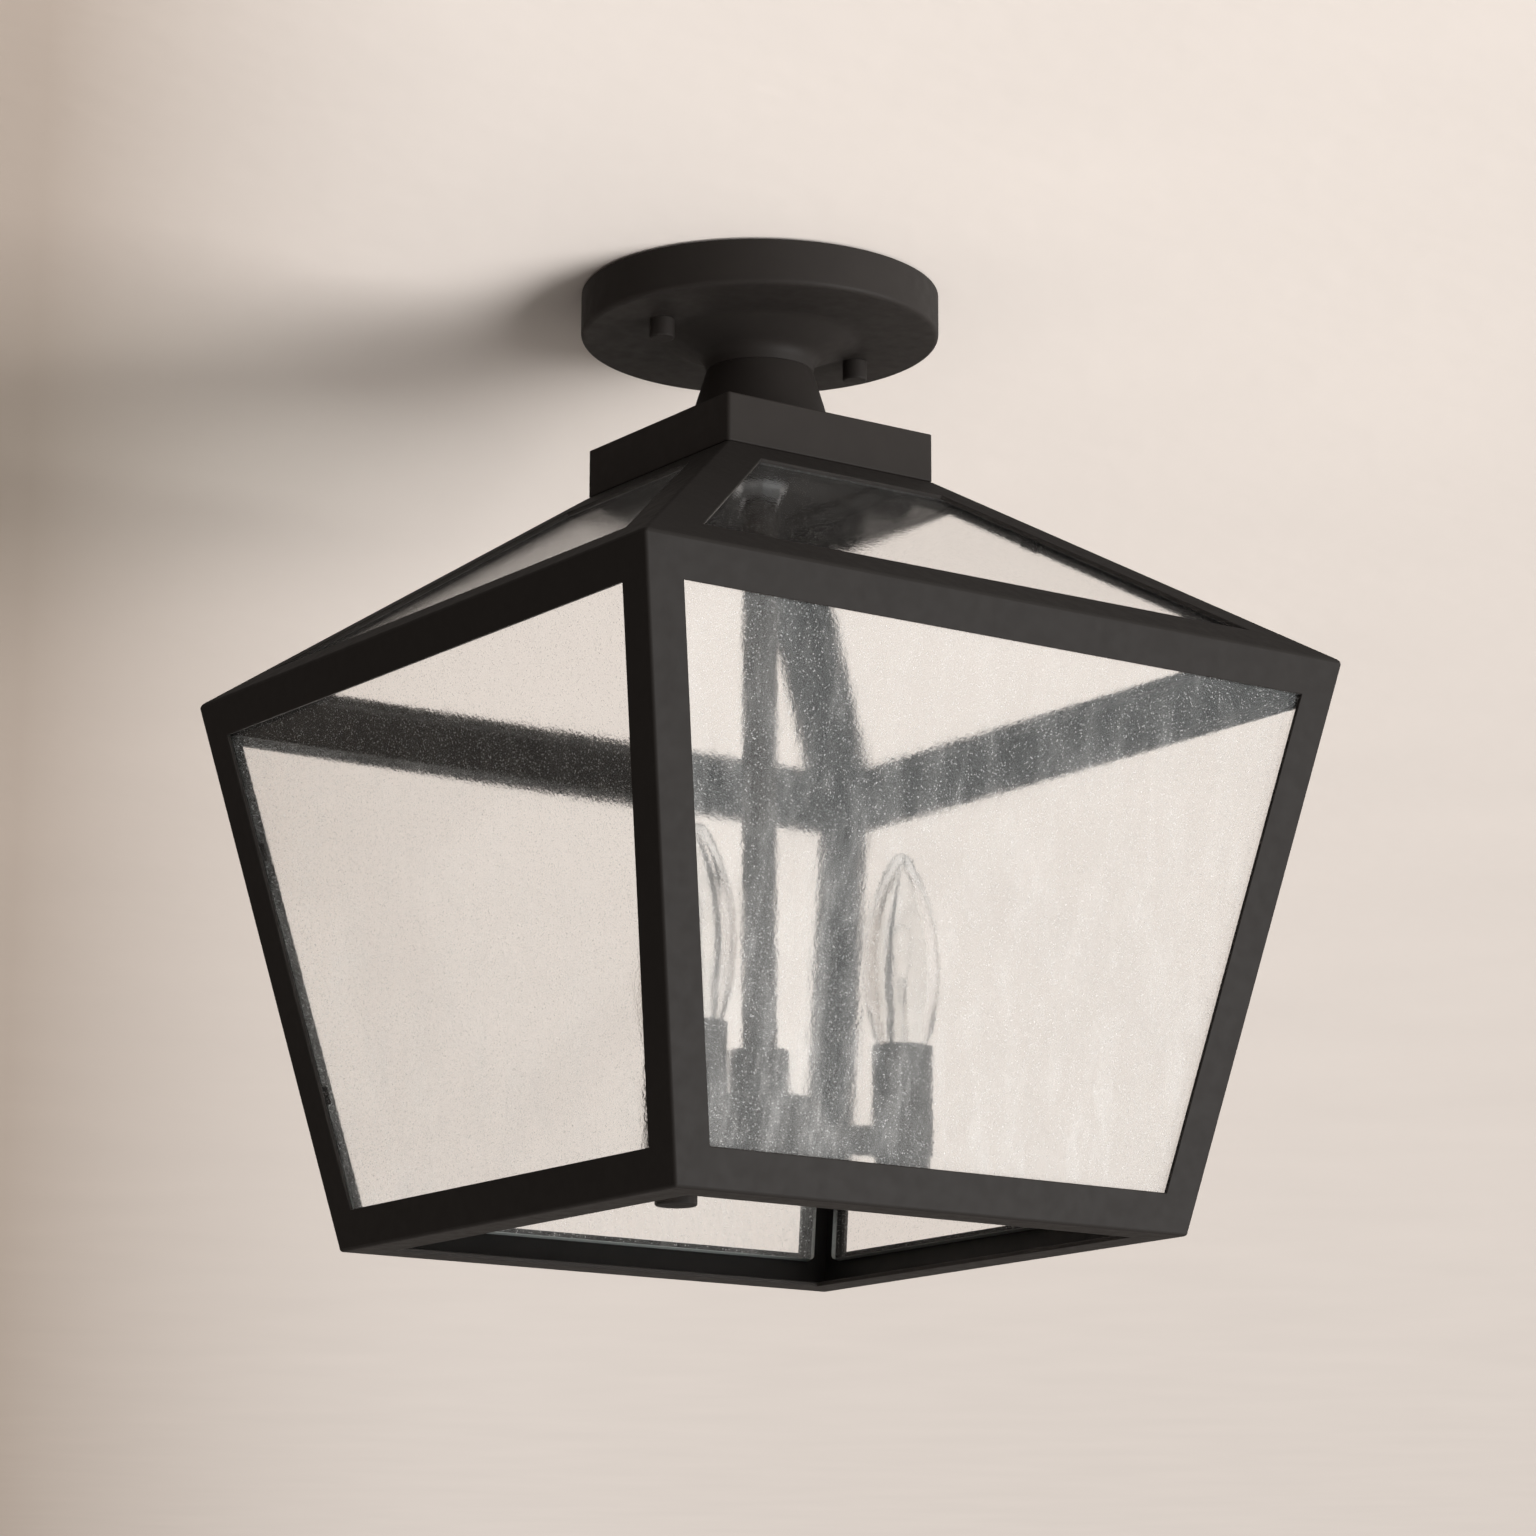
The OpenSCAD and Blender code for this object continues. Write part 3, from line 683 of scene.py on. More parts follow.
@dataclass(frozen=True)
class GroundGlass(Finish):
    """The cut edge of a pane: ground pale grey at the foot, near black higher up."""

    tone: Rgb = (0.42, 0.45, 0.44)
    # Colour of the edge higher up: near black.
    upper_tone: Rgb = (0.030, 0.029, 0.028)
    foot_mm: float = 12.0
    reach_mm: float = 28.0
    mottle_mm: float = 1.2
    mottle: Point2 = (-0.12, 0.12)
    grit_mm: float = 0.8
    rough: Point2 = (0.4, 0.6)
    grind_mm: float = 0.3
    grind_depth_mm: float = 0.02

    def fill(self, tree: Tree) -> None:
        """Builds the ground edge.

        Args:
            tree: The empty tree.
        """
        height = tree.dot(tree.place(), UPWARD)
        foot = (LEVELS.base + self.foot_mm) * MM
        share = tree.remap(height, (foot, foot + self.reach_mm * MM), (0.0, 1.0), True)
        share = tree.math("ADD", share, tree.spread(self.mottle_mm, self.mottle, 3.0))
        colour = tree.blend(share, self.tone, self.upper_tone)
        relief = tree.bump(tree.noise(self.grind_mm), self.grind_depth_mm)
        skin = tree.principled(colour, tree.spread(self.grit_mm, self.rough), relief)
        tree.surface(skin.outputs["BSDF"])


COAT = PowderCoat("powder_coat")
# A darker, less glossy copy of the coat for inner faces, clips and the top plate: painted shade.
COAT_PAINTED_SHADE = PowderCoat(
    "powder_coat_painted_shade", (0.012, 0.0115, 0.011), (0.018, 0.017, 0.0165), gloss=0.12, pebble_mm=1.2
)
# A lighter copy of the coat for the canopy, neck, cap and nuts: painted light.
COAT_PAINTED_LIGHT = PowderCoat("powder_coat_painted_light", (0.037, 0.0315, 0.029), (0.051, 0.0445, 0.041))
ZINC = PlatedMetal("zinc_plate")
BRASS = PlatedMetal(
    "lamp_brass", (0.55, 0.40, 0.18), (0.80, 0.62, 0.32), rough=(0.22, 0.36), patch_mm=1.5
)
WIRE = PlatedMetal("lamp_wire", dark=(0.30, 0.29, 0.28), light=(0.42, 0.41, 0.40), patch_mm=0.5)
GREEN = MouldedResin("ground_green", dark=(0.03, 0.16, 0.05), light=(0.06, 0.24, 0.08))
RESIN = MouldedResin("socket_resin")
LAMP_GLASS = ClearGlass("lamp_glass", (0.90, 0.905, 0.90), (0.86, 0.87, 0.865), index=1.42)
SEEDED = SeededGlass("seeded_glass")
# The left and right panes carry only a faint painted reflection veil and weaker reflections.
SEEDED_SIDE = SeededGlass(
    "seeded_glass_side",
    index=1.2,
    painted_veil_low=0.012,
    painted_veil_high=0.008,
    seed_share=0.35,
    ripple_depth_mm=0.024,
)
SEEDED_ROOF = SeededGlass(
    "seeded_glass_roof", index=1.08, seed_share=0.2, rough=0.04, ripple_depth_mm=0.03
)
PANE_EDGE = GroundGlass("pane_edge")


# ---- Mesh work ---------------------------------------------------------------------------


@dataclass(frozen=True)
class Corner:
    """A corner of an outline: distance from the axis, height, and the radius of its rounding."""

    r: float
    z: float
    fillet: float = 0.0


def rounded_outline(corners: Sequence[Corner], steps: int = 4) -> list[Point2]:
    """Rounds the corners of a closed outline.

    Args:
        corners: The corners in order, in millimetres.
        steps: Pieces in each rounding.

    Returns:
        The points of the closed outline.
    """
    points: list[Point2] = []
    count = len(corners)
    for i, corner in enumerate(corners):
        here = Vector((corner.r, corner.z))
        if corner.fillet <= 0:
            points.append((corner.r, corner.z))
            continue
        before, after = corners[i - 1], corners[(i + 1) % count]
        to_before = (Vector((before.r, before.z)) - here).normalized()
        to_after = (Vector((after.r, after.z)) - here).normalized()
        half = to_before.angle(to_after) / 2
        centre = here + (to_before + to_after).normalized() * (corner.fillet / math.sin(half))
        start = here + to_before * (corner.fillet / math.tan(half)) - centre
        end = here + to_after * (corner.fillet / math.tan(half)) - centre
        sweep = start.angle_signed(end)
        for k in range(steps + 1):
            turned = start.copy()
            turned.rotate(Matrix.Rotation(-sweep * k / steps, 2))
            points.append((centre.x + turned.x, centre.y + turned.y))
    return points


def sheet_corners(line: Sequence[Corner], wall: float) -> list[Corner]:
    """Closes the section of a bent sheet.

    Args:
        line: Corners of its outer face; the sheet lies to the right of the line's direction.
        wall: Thickness of the sheet.

    Returns:
        The corners of the whole section.
    """
    spots = [Vector((corner.r, corner.z)) for corner in line]
    runs = [(b - a).normalized() for a, b in zip(spots, spots[1:])]
    inner = []
    for i, (corner, spot) in enumerate(zip(line, spots)):
        before, after = runs[max(i - 1, 0)], runs[min(i, len(runs) - 1)]
        side_a, side_b = Vector((before.y, -before.x)), Vector((after.y, -after.x))
        moved = spot + (side_a + side_b) * wall / (1 + side_a.dot(side_b))
        turn = before.cross(after)
        fillet = corner.fillet + math.copysign(wall, turn) if abs(turn) > TINY else 0.0
        inner.append(Corner(moved.x, moved.y, max(fillet, 0.0)))
    return list(line) + inner[::-1]


def stand(name: str, data: bpy.types.ID) -> bpy.types.Object:
    """Puts an object with the given data in the scene.

    Args:
        name: The object's name.
        data: Its mesh, curve, lamp or camera.

    Returns:
        The new object.
    """
    piece = bpy.data.objects.new(name, data)
    bpy.context.scene.collection.objects.link(piece)
    return piece


def new_piece(name: str, mesh: bmesh.types.BMesh, sharp_deg: float = 32.0) -> bpy.types.Object:
    """Turns a mesh in millimetres into a smooth-shaded object in metres.

    Args:
        name: The piece's name.
        mesh: The mesh, which is freed.
        sharp_deg: Edges that turn by more than this stay crisp.

    Returns:
        The new object.
    """
    bmesh.ops.recalc_face_normals(mesh, faces=mesh.faces)
    bmesh.ops.scale(mesh, vec=(MM, MM, MM), verts=mesh.verts)
    for face in mesh.faces:
        face.smooth = True
    data = bpy.data.meshes.new(name)
    mesh.to_mesh(data)
    mesh.free()
    data.set_sharp_from_angle(angle=math.radians(sharp_deg))
    return stand(name, data)


def add_ring(
    mesh: bmesh.types.BMesh, place: Matrix, radii: Sequence[float], z: float
) -> Loop:
    """Adds one ring of points round an axis, or the one point on it.

    Args:
        mesh: The mesh.
        place: Where the axis stands.
        radii: Distance of each point.
        z: Height of the ring.

    Returns:
        The new points.
    """
    if radii[0] < TINY:
        return [mesh.verts.new(place @ Vector((0, 0, z)))]
    turn = [FULL_TURN * k / len(radii) for k in range(len(radii))]
    return [
        mesh.verts.new(place @ Vector((r * math.cos(a), r * math.sin(a), z)))
        for r, a in zip(radii, turn)
    ]


def add_band(mesh: bmesh.types.BMesh, low: Loop, high: Loop, material: int = 0) -> None:
    """Adds the faces between two loops of points, either of which may be a single point.

    Args:
        mesh: The mesh.
        low: The first loop.
        high: The second loop.
        material: Number of the faces' material.
    """
    for k in range(max(len(low), len(high))):
        n = k + 1
        ring = [low[k % len(low)], low[n % len(low)], high[n % len(high)], high[k % len(high)]]
        face = list(dict.fromkeys(ring))
        if len(face) > 2:
            mesh.faces.new(face).material_index = material


def turned_mesh(
    outline: Sequence[Point2], place: Matrix, segments: int = 96, closed: bool = True
) -> bmesh.types.BMesh:
    """Turns an outline round an axis.

    Args:
        outline: Distance from the axis and height of each point, in millimetres.
        place: Where the axis stands.
        segments: Steps round the axis.
        closed: Whether the last point joins the first.

    Returns:
        The mesh, in millimetres.
    """
    mesh = bmesh.new()
    rings = [add_ring(mesh, place, [r] * segments, z) for r, z in outline]
    for low, high in zip(rings, rings[1:] + rings[:1] if closed else rings[1:]):
        add_band(mesh, low, high)
    return mesh


def weighted_bevel(
    piece: bpy.types.Object, name: str, width_mm: float, segments: int
) -> bpy.types.Object:
    """Rounds the edges of a piece by the weight that each has.

    Args:
        piece: The piece.
        name: What the rounding is called.
        width_mm: Width of the rounding at full weight, in millimetres.
        segments: Steps in the rounding.

    Returns:
        The same piece.
    """
    bevel = piece.modifiers.new(name, "BEVEL")
    bevel.limit_method = "WEIGHT"
    bevel.width = width_mm * MM
    bevel.segments = segments
    return weight_normals(piece)


def weight_normals(piece: bpy.types.Object) -> bpy.types.Object:
    """Keeps flat faces flat beside small roundings.

    Args:
        piece: The piece.

    Returns:
        The same piece.
    """
    keep = piece.modifiers.new("even shading", "WEIGHTED_NORMAL")
    keep.keep_sharp = True
    keep.weight = FLAT_WEIGHT
    return piece


def soften(
    piece: bpy.types.Object, width_mm: float, sharp_deg: float = 35.0
) -> bpy.types.Object:
    """Rounds the sharp edges of a piece a little.

    Args:
        piece: The piece.
        width_mm: Width of the rounding in millimetres.
        sharp_deg: Edges that turn by more than this are rounded.

    Returns:
        The same piece.
    """
    bevel = piece.modifiers.new("eased edges", "BEVEL")
    bevel.limit_method = "ANGLE"
    bevel.angle_limit = math.radians(sharp_deg)
    bevel.width = width_mm * MM
    bevel.segments = 2
    return weight_normals(piece)


def settle(
    piece: bpy.types.Object, body: str, replaced: Iterable[str] = ()
) -> bpy.types.Object:
    """Ties a piece to its body and the nodes it stands for.

    Args:
        piece: The piece.
        body: The body it moves with.
        replaced: Nodes of the part that the piece stands for.

    Returns:
        The same piece.
    """
    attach(piece, body)
    names = list(replaced)
    if names:
        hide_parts(*names)
    LOG.info("%s rides on %s, %d vertices", piece.name, body, len(piece.data.vertices))
    return piece


# ---- The frame of bars -------------------------------------------------------------------


@dataclass
class BarSkin:
    """The outer skin of the bars, noted corner by corner before it gets its wall."""

    sheets: dict[tuple, tuple[Vector, list[Vector]]] = field(default_factory=dict)
    quads: list[list[tuple]] = field(default_factory=list)
    rims: list[tuple[tuple, tuple]] = field(default_factory=list)

    def point(self, key: tuple, at: Vector, *normals: Vector) -> tuple:
        """Notes a corner with the planes that meet there.

        Args:
            key: The corner's name.
            at: Where it is, in millimetres.
            normals: Outward directions of the planes.

        Returns:
            The corner's name.
        """
        self.sheets.setdefault(key, (at, []))[1].extend(normals)
        return key

    def band(self, outer: list[tuple], inner: list[tuple]) -> None:
        """Notes the bars round an opening: quads between two loops of four corners.

        Args:
            outer: Names of the outer corners.
            inner: Names of the opening's corners.
        """
        for i in range(4):
            j = (i + 1) % 4
            self.quads.append([outer[i], outer[j], inner[j], inner[i]])
            self.rims.append((inner[i], inner[j]))

    def thicken(self, wall: float) -> tuple[bmesh.types.BMesh, set[int]]:
        """Gives the skin a true wall, with its inner faces in the second material.

        Args:
            wall: Thickness of the sheet.

        Returns:
            The mesh, and the numbers of the bars' outer corner points.
        """
        mesh = bmesh.new()
        outer: dict[tuple, bmesh.types.BMVert] = {}
        inner: dict[tuple, bmesh.types.BMVert] = {}
        for key, (at, planes) in self.sheets.items():
            outer[key] = mesh.verts.new(at)
            normals = np.array([list(plane) for plane in planes])
            step = np.linalg.lstsq(normals, np.full(len(planes), -wall), rcond=None)[0]
            inner[key] = mesh.verts.new(at + Vector(step))
        for quad in self.quads:
            mesh.faces.new([outer[key] for key in quad])
            mesh.faces.new([inner[key] for key in reversed(quad)]).material_index = 1
        for a, b in self.rims:
            mesh.faces.new([outer[a], outer[b], inner[b], inner[a]])
        bmesh.ops.recalc_face_normals(mesh, faces=mesh.faces)
        mesh.verts.index_update()
        named = [key for key in self.sheets if len(key) == 2 and " in" not in key[0]]
        return mesh, {outer[key].index for key in named}


@dataclass
class GlazedFrame:
    """The welded frame: four posts, four hips and three rings of angle bars."""

    shoulder_w: float = 305.0
    base_w: float = 220.0
    top_w: float = 92.6
    bar_leg: float = 14.5
    eave_leg: float = 17.0
    crown_leg: float = 16.0
    crown_seat: float = 12.0
    wall: float = 1.6
    outer_round: float = 1.1
    rim_round: float = 0.28
    flat_deg: float = 12.0

    def __post_init__(self) -> None:
        """Works out the slopes and the lengths of the faces along them."""
        side_h = LEVELS.shoulder - LEVELS.base
        roof_h = LEVELS.crown - LEVELS.shoulder
        self.side_tilt = math.atan2((self.shoulder_w - self.base_w) / 2, side_h)
        self.side_len = side_h / math.cos(self.side_tilt)
        self.roof_pitch = math.atan2(roof_h, (self.shoulder_w - self.top_w) / 2)
        self.roof_len = roof_h / math.sin(self.roof_pitch)

    def side_place(self, k: int) -> Matrix:
        """Place of a side: x along it, y up its slope from the base edge, z outwards.

        Args:
            k: Number of the side.

        Returns:
            The place, in millimetres.
        """
        turn = Matrix.Rotation(math.pi / 2 * k, 4, "Z")
        move = Matrix.Translation((0, -self.base_w / 2, LEVELS.base))
        return turn @ move @ Matrix.Rotation(math.pi / 2 + self.side_tilt, 4, "X")

    def roof_place(self, k: int) -> Matrix:
        """Place of a roof face: x along it, y up its slope from the eave, z outwards.

        Args:
            k: Number of the side.

        Returns:
            The place, in millimetres.
        """
        turn = Matrix.Rotation(math.pi / 2 * k, 4, "Z")
        move = Matrix.Translation((0, -self.shoulder_w / 2, LEVELS.shoulder))
        return turn @ move @ Matrix.Rotation(self.roof_pitch, 4, "X")

    @staticmethod
    def inset(
        low: float, high: float, length: float, y0: float, y1: float, side_in: float
    ) -> list[Point2]:
        """A face's outline drawn inwards.

        Args:
            low: Half width of the face at its lower edge.
            high: Half width at its upper edge.
            length: Length of the face up its slope.
            y0: Lower line of the new outline.
            y1: Upper line of the new outline.
            side_in: Distance from the sloping edges.

        Returns:
            Four corners, anticlockwise from the lower left one.
        """
        stretch = side_in / math.cos(math.atan((high - low) / length))
        x0 = low + (high - low) * y0 / length - stretch
        x1 = low + (high - low) * y1 / length - stretch
        return [(-x0, y0), (x0, y0), (x1, y1), (-x1, y1)]

    def side_window(self) -> list[Point2]:
        """Corners of a side's opening between the bars.

        Returns:
            The corners, on the side's own face.
        """
        half, wide, leg = self.base_w / 2, self.shoulder_w / 2, self.bar_leg
        return self.inset(half, wide, self.side_len, leg, self.side_len - leg, leg)

    def roof_window(self) -> list[Point2]:
        """Corners of a roof face's opening between the bars.

        Returns:
            The corners, on the roof's own face.
        """
        wide, top = self.shoulder_w / 2, self.top_w / 2
        high = self.roof_len - self.crown_leg
        return self.inset(wide, top, self.roof_len, self.eave_leg, high, self.bar_leg)

    @staticmethod
    def square(half: float, z: float) -> list[Vector]:
        """The corners of a level square, corner k between sides k - 1 and k.

        Args:
            half: Half its width.
            z: Its height.

        Returns:
            The four corners.
        """
        return [Vector((x * half, y * half, z)) for x, y in SQUARE]

    def skin(self) -> BarSkin:
        """Lays out the outer skin of all bars round the openings.

        Returns:
            The skin.
        """
        skin = BarSkin()
        base = self.square(self.base_w / 2, LEVELS.base)
        shoulder = self.square(self.shoulder_w / 2, LEVELS.shoulder)
        crown = self.square(self.top_w / 2, LEVELS.crown)
        base_in = self.square(self.base_w / 2 - self.bar_leg, LEVELS.base)
        crown_in = self.square(self.top_w / 2 - self.crown_seat, LEVELS.crown)
        up = Vector(UPWARD)
        for k in range(4):
            n = (k + 1) % 4
            side, roof = self.side_place(k), self.roof_place(k)
            side_out, roof_out = side.col[2].to_3d(), roof.col[2].to_3d()
            frame_side = [
                skin.point(("base", k), base[k], side_out),
                skin.point(("base", n), base[n], side_out),
                skin.point(("shoulder", n), shoulder[n], side_out, roof_out),
                skin.point(("shoulder", k), shoulder[k], side_out, roof_out),
            ]
            hole = [
                skin.point(("side", k, i), side @ Vector((x, y, 0)), side_out)
                for i, (x, y) in enumerate(self.side_window())
            ]
            skin.band(frame_side, hole)
            frame_roof = [
                ("shoulder", k),
                ("shoulder", n),
                skin.point(("crown", n), crown[n], roof_out),
                skin.point(("crown", k), crown[k], roof_out),
            ]
            hole = [
                skin.point(("roof", k, i), roof @ Vector((x, y, 0)), roof_out)
                for i, (x, y) in enumerate(self.roof_window())
            ]
            skin.band(frame_roof, hole)
        feet = [skin.point(("base", k), base[k], -up) for k in range(4)]
        seat = [skin.point(("crown", k), crown[k], up) for k in range(4)]
        skin.band(feet, [skin.point(("base in", k), base_in[k], -up) for k in range(4)])
        skin.band(seat, [skin.point(("crown in", k), crown_in[k], up) for k in range(4)])
        return skin

    def build(self) -> None:
        """Builds the welded frame as one skin with a true wall, and dresses it."""
        mesh, corners = self.skin().thicken(self.wall)
        soft = mesh.edges.layers.float.new("bevel_weight_edge")
        for edge in mesh.edges:
            if edge.calc_face_angle(0.0) < math.radians(self.flat_deg):
                continue
            crease = {vert.index for vert in edge.verts} <= corners
            edge[soft] = 1.0 if crease else self.rim_round / self.outer_round
        piece = new_piece("frame_bars", mesh, 60.0)
        COAT.dress(weighted_bevel(piece, "rounded bars", self.outer_round, 3))
        # The inner faces take the darker copy of the coat: painted shade.
        piece.data.materials.append(COAT_PAINTED_SHADE.material())
        nodes = [f"{bar}_{corner}" for bar in ("post", "hip") for corner in CORNERS]
        nodes += ["shoulder_bars", "base_bars", "top_bars"]
        settle(piece, BODY, nodes)


# ---- Glass panes -------------------------------------------------------------------------


@dataclass
class Glazing:
    """Eight seeded panes behind the bars, each with a ground edge and four clips."""

    frame: GlazedFrame
    thickness: float = 3.0
    lap: float = 3.0
    side_lap: float = 5.5
    corner_r: float = 2.5
    arris: float = 0.25
    clip_w: float = 7.0
    clip_t: float = 0.8
    clip_foot: float = 4.2
    clip_reach: float = 1.6
    clip_gap: float = 0.3
    clip_spots: Point2 = (0.25, 0.75)

    def outline(self, points: Sequence[Point2]) -> list[Point2]:
        """A pane's outline with rounded corners.

        Args:
            points: Its four corners.

        Returns:
            The rounded outline.
        """
        return rounded_outline([Corner(x, y, self.corner_r) for x, y in points], 6)

    def pane(
        self, name: str, place: Matrix, points: Sequence[Point2], glass: SeededGlass
    ) -> bpy.types.Object:
        """Builds one pane.

        Args:
            name: Name of the piece.
            place: The face's place in the frame.
            points: The pane's corners on the face.
            glass: Its finish.

        Returns:
            The pane.
        """
        mesh = bmesh.new()
        top = -self.frame.wall
        bottom = top - self.thickness
        rounds = self.outline(points)
        centre = Vector((sum(p[0] for p in rounds), sum(p[1] for p in rounds))) / len(rounds)
        levels = (
            (top, self.arris),
            (top - self.arris, 0.0),
            (bottom + self.arris, 0.0),
            (bottom, self.arris),
        )
        rings: list[Loop] = []
        for z, back in levels:
            loop = []
            for x, y in rounds:
                spot = Vector((x, y))
                spot -= (spot - centre).normalized() * back
                loop.append(mesh.verts.new(place @ Vector((spot.x, spot.y, z))))
            rings.append(loop)
        mesh.faces.new(rings[0])
        mesh.faces.new(rings[-1][::-1])
        for low, high in zip(rings, rings[1:]):
            add_band(mesh, low, high, 1)
        piece = glass.dress(new_piece(name, mesh, 20.0))
        piece.data.materials.append(PANE_EDGE.material())
        return piece

    def add_clips(self, mesh: bmesh.types.BMesh, place: Matrix, points: Sequence[Point2]) -> None:
        """Adds the four folded clips of one pane.

        Args:
            mesh: Mesh that takes them.
            place: The face's place in the frame.
            points: The pane's corners on the face.
        """
        gap, thick, deep = self.clip_gap, self.clip_t, self.thickness + self.clip_t
        fold = [
            Corner(gap, 0.0, 0.3),
            Corner(gap + self.clip_foot, 0.0, 0.2),
            Corner(gap + self.clip_foot, -thick, 0.2),
            Corner(gap + thick, -thick, 0.15),
            Corner(gap + thick, -deep, 0.75),
            Corner(-self.clip_reach, -deep, 0.2),
            Corner(-self.clip_reach, -self.thickness, 0.2),
            Corner(gap, -self.thickness, 0.1),
        ]
        line = rounded_outline(fold, 3)
        foot, head = Vector(points[1]), Vector(points[2])
        lean = math.atan2(head.x - foot.x, head.y - foot.y)
        for flip in (1, -1):
            for share in self.clip_spots:
                spot = foot.lerp(head, share)
                turn = Matrix.Rotation(-lean, 4, "Z")
                lie = Matrix.Translation((spot.x, spot.y, -self.frame.wall)) @ turn
                seat = place @ Matrix.Diagonal((flip, 1, 1, 1)) @ lie
                rings = [
                    [mesh.verts.new(seat @ Vector((x, y, z))) for x, z in line]
                    for y in (-self.clip_w / 2, self.clip_w / 2)
                ]
                mesh.faces.new(rings[0])
                mesh.faces.new(rings[1][::-1])
                add_band(mesh, *rings)

    def build(self) -> None:
        """Builds all panes and ties them to the frame."""
        bars = self.frame
        side_in = bars.bar_leg - self.side_lap
        low, wide, top = bars.base_w / 2, bars.shoulder_w / 2, bars.top_w / 2
        first = bars.bar_leg - self.lap
        side = bars.inset(low, wide, bars.side_len, first, bars.side_len - first, side_in)
        roof_top = bars.roof_len - bars.crown_leg + self.lap
        roof = bars.inset(wide, top, bars.roof_len, bars.eave_leg - self.lap, roof_top, side_in)
        clips = bmesh.new()
        for face in Side:
            k, word = face.value, face.name.lower()
            self.add_clips(clips, bars.side_place(k), side)
            self.add_clips(clips, bars.roof_place(k), roof)
            # The front and back panes carry the heavier painted reflection veil.
            glass = SEEDED if face in (Side.FRONT, Side.BACK) else SEEDED_SIDE
            pane = self.pane(f"pane_side_{word}", bars.side_place(k), side, glass)
            settle(pane, BODY, [f"side_glass_{word}"])
            pane = self.pane(f"pane_roof_{word}", bars.roof_place(k), roof, SEEDED_ROOF)
            settle(pane, BODY, [f"roof_glass_{word}"])
        bmesh.ops.recalc_face_normals(clips, faces=clips.faces)
        # The clips take the darker copy of the coat: painted shade.
        piece = COAT_PAINTED_SHADE.dress(soften(new_piece("pane_clips", clips, 40.0), 0.12))
        settle(piece, BODY, ["glass_clips"])


# ---- Turned pieces -----------------------------------------------------------------------


@dataclass
class Turnery:
    """Makes the lantern's round pieces on their own axes."""

    segments: int = 96

    def make(
        self,
        name: str,
        outline: Sequence[Point2],
        finish: Finish,
        place: Matrix = Matrix.Identity(4),
        sharp_deg: float = 32.0,
    ) -> bpy.types.Object:
        """Turns and dresses one piece.

        Args:
            name: The piece's name.
            outline: Its closed outline.
            finish: Its finish.
            place: Where its axis stands, in millimetres.
            sharp_deg: Edges that turn by more than this stay crisp.

        Returns:
            The piece.
        """
        piece = new_piece(name, turned_mesh(outline, place, self.segments), sharp_deg)
        return finish.dress(weight_normals(piece))

    def coated(
        self,
        name: str,
        outline: Sequence[Point2],
        node: str,
        finish: Finish = COAT,
        place: Matrix = Matrix.Identity(4),
    ) -> None:
        """Turns one coated piece of the lantern's fixed body and ties it to its node.

        Args:
            name: The piece's name.
            outline: Its closed outline.
            node: Node of the part that it stands for.
            finish: Its coat.
            place: Where its axis stands, in millimetres.
        """
        settle(self.make(name, outline, finish, place), BODY, [node])

    @staticmethod
    def tube(low: float, high: float, outer: float, bore: float, ease: float) -> list[Point2]:
        """Outline of a tube with eased ends.

        Args:
            low: Lower end.
            high: Upper end.
            outer: Outer diameter.
            bore: Inner diameter.
            ease: Rounding of the outer edges.

        Returns:
            The outline.
        """
        r, hole = outer / 2, bore / 2
        inner_ease = min(ease * 0.5, (r - hole) * 0.3)
        return rounded_outline(
            [
                Corner(hole, low, inner_ease),
                Corner(r, low, ease),
                Corner(r, high, ease),
                Corner(hole, high, inner_ease),
            ]
        )


TURNERY = Turnery()


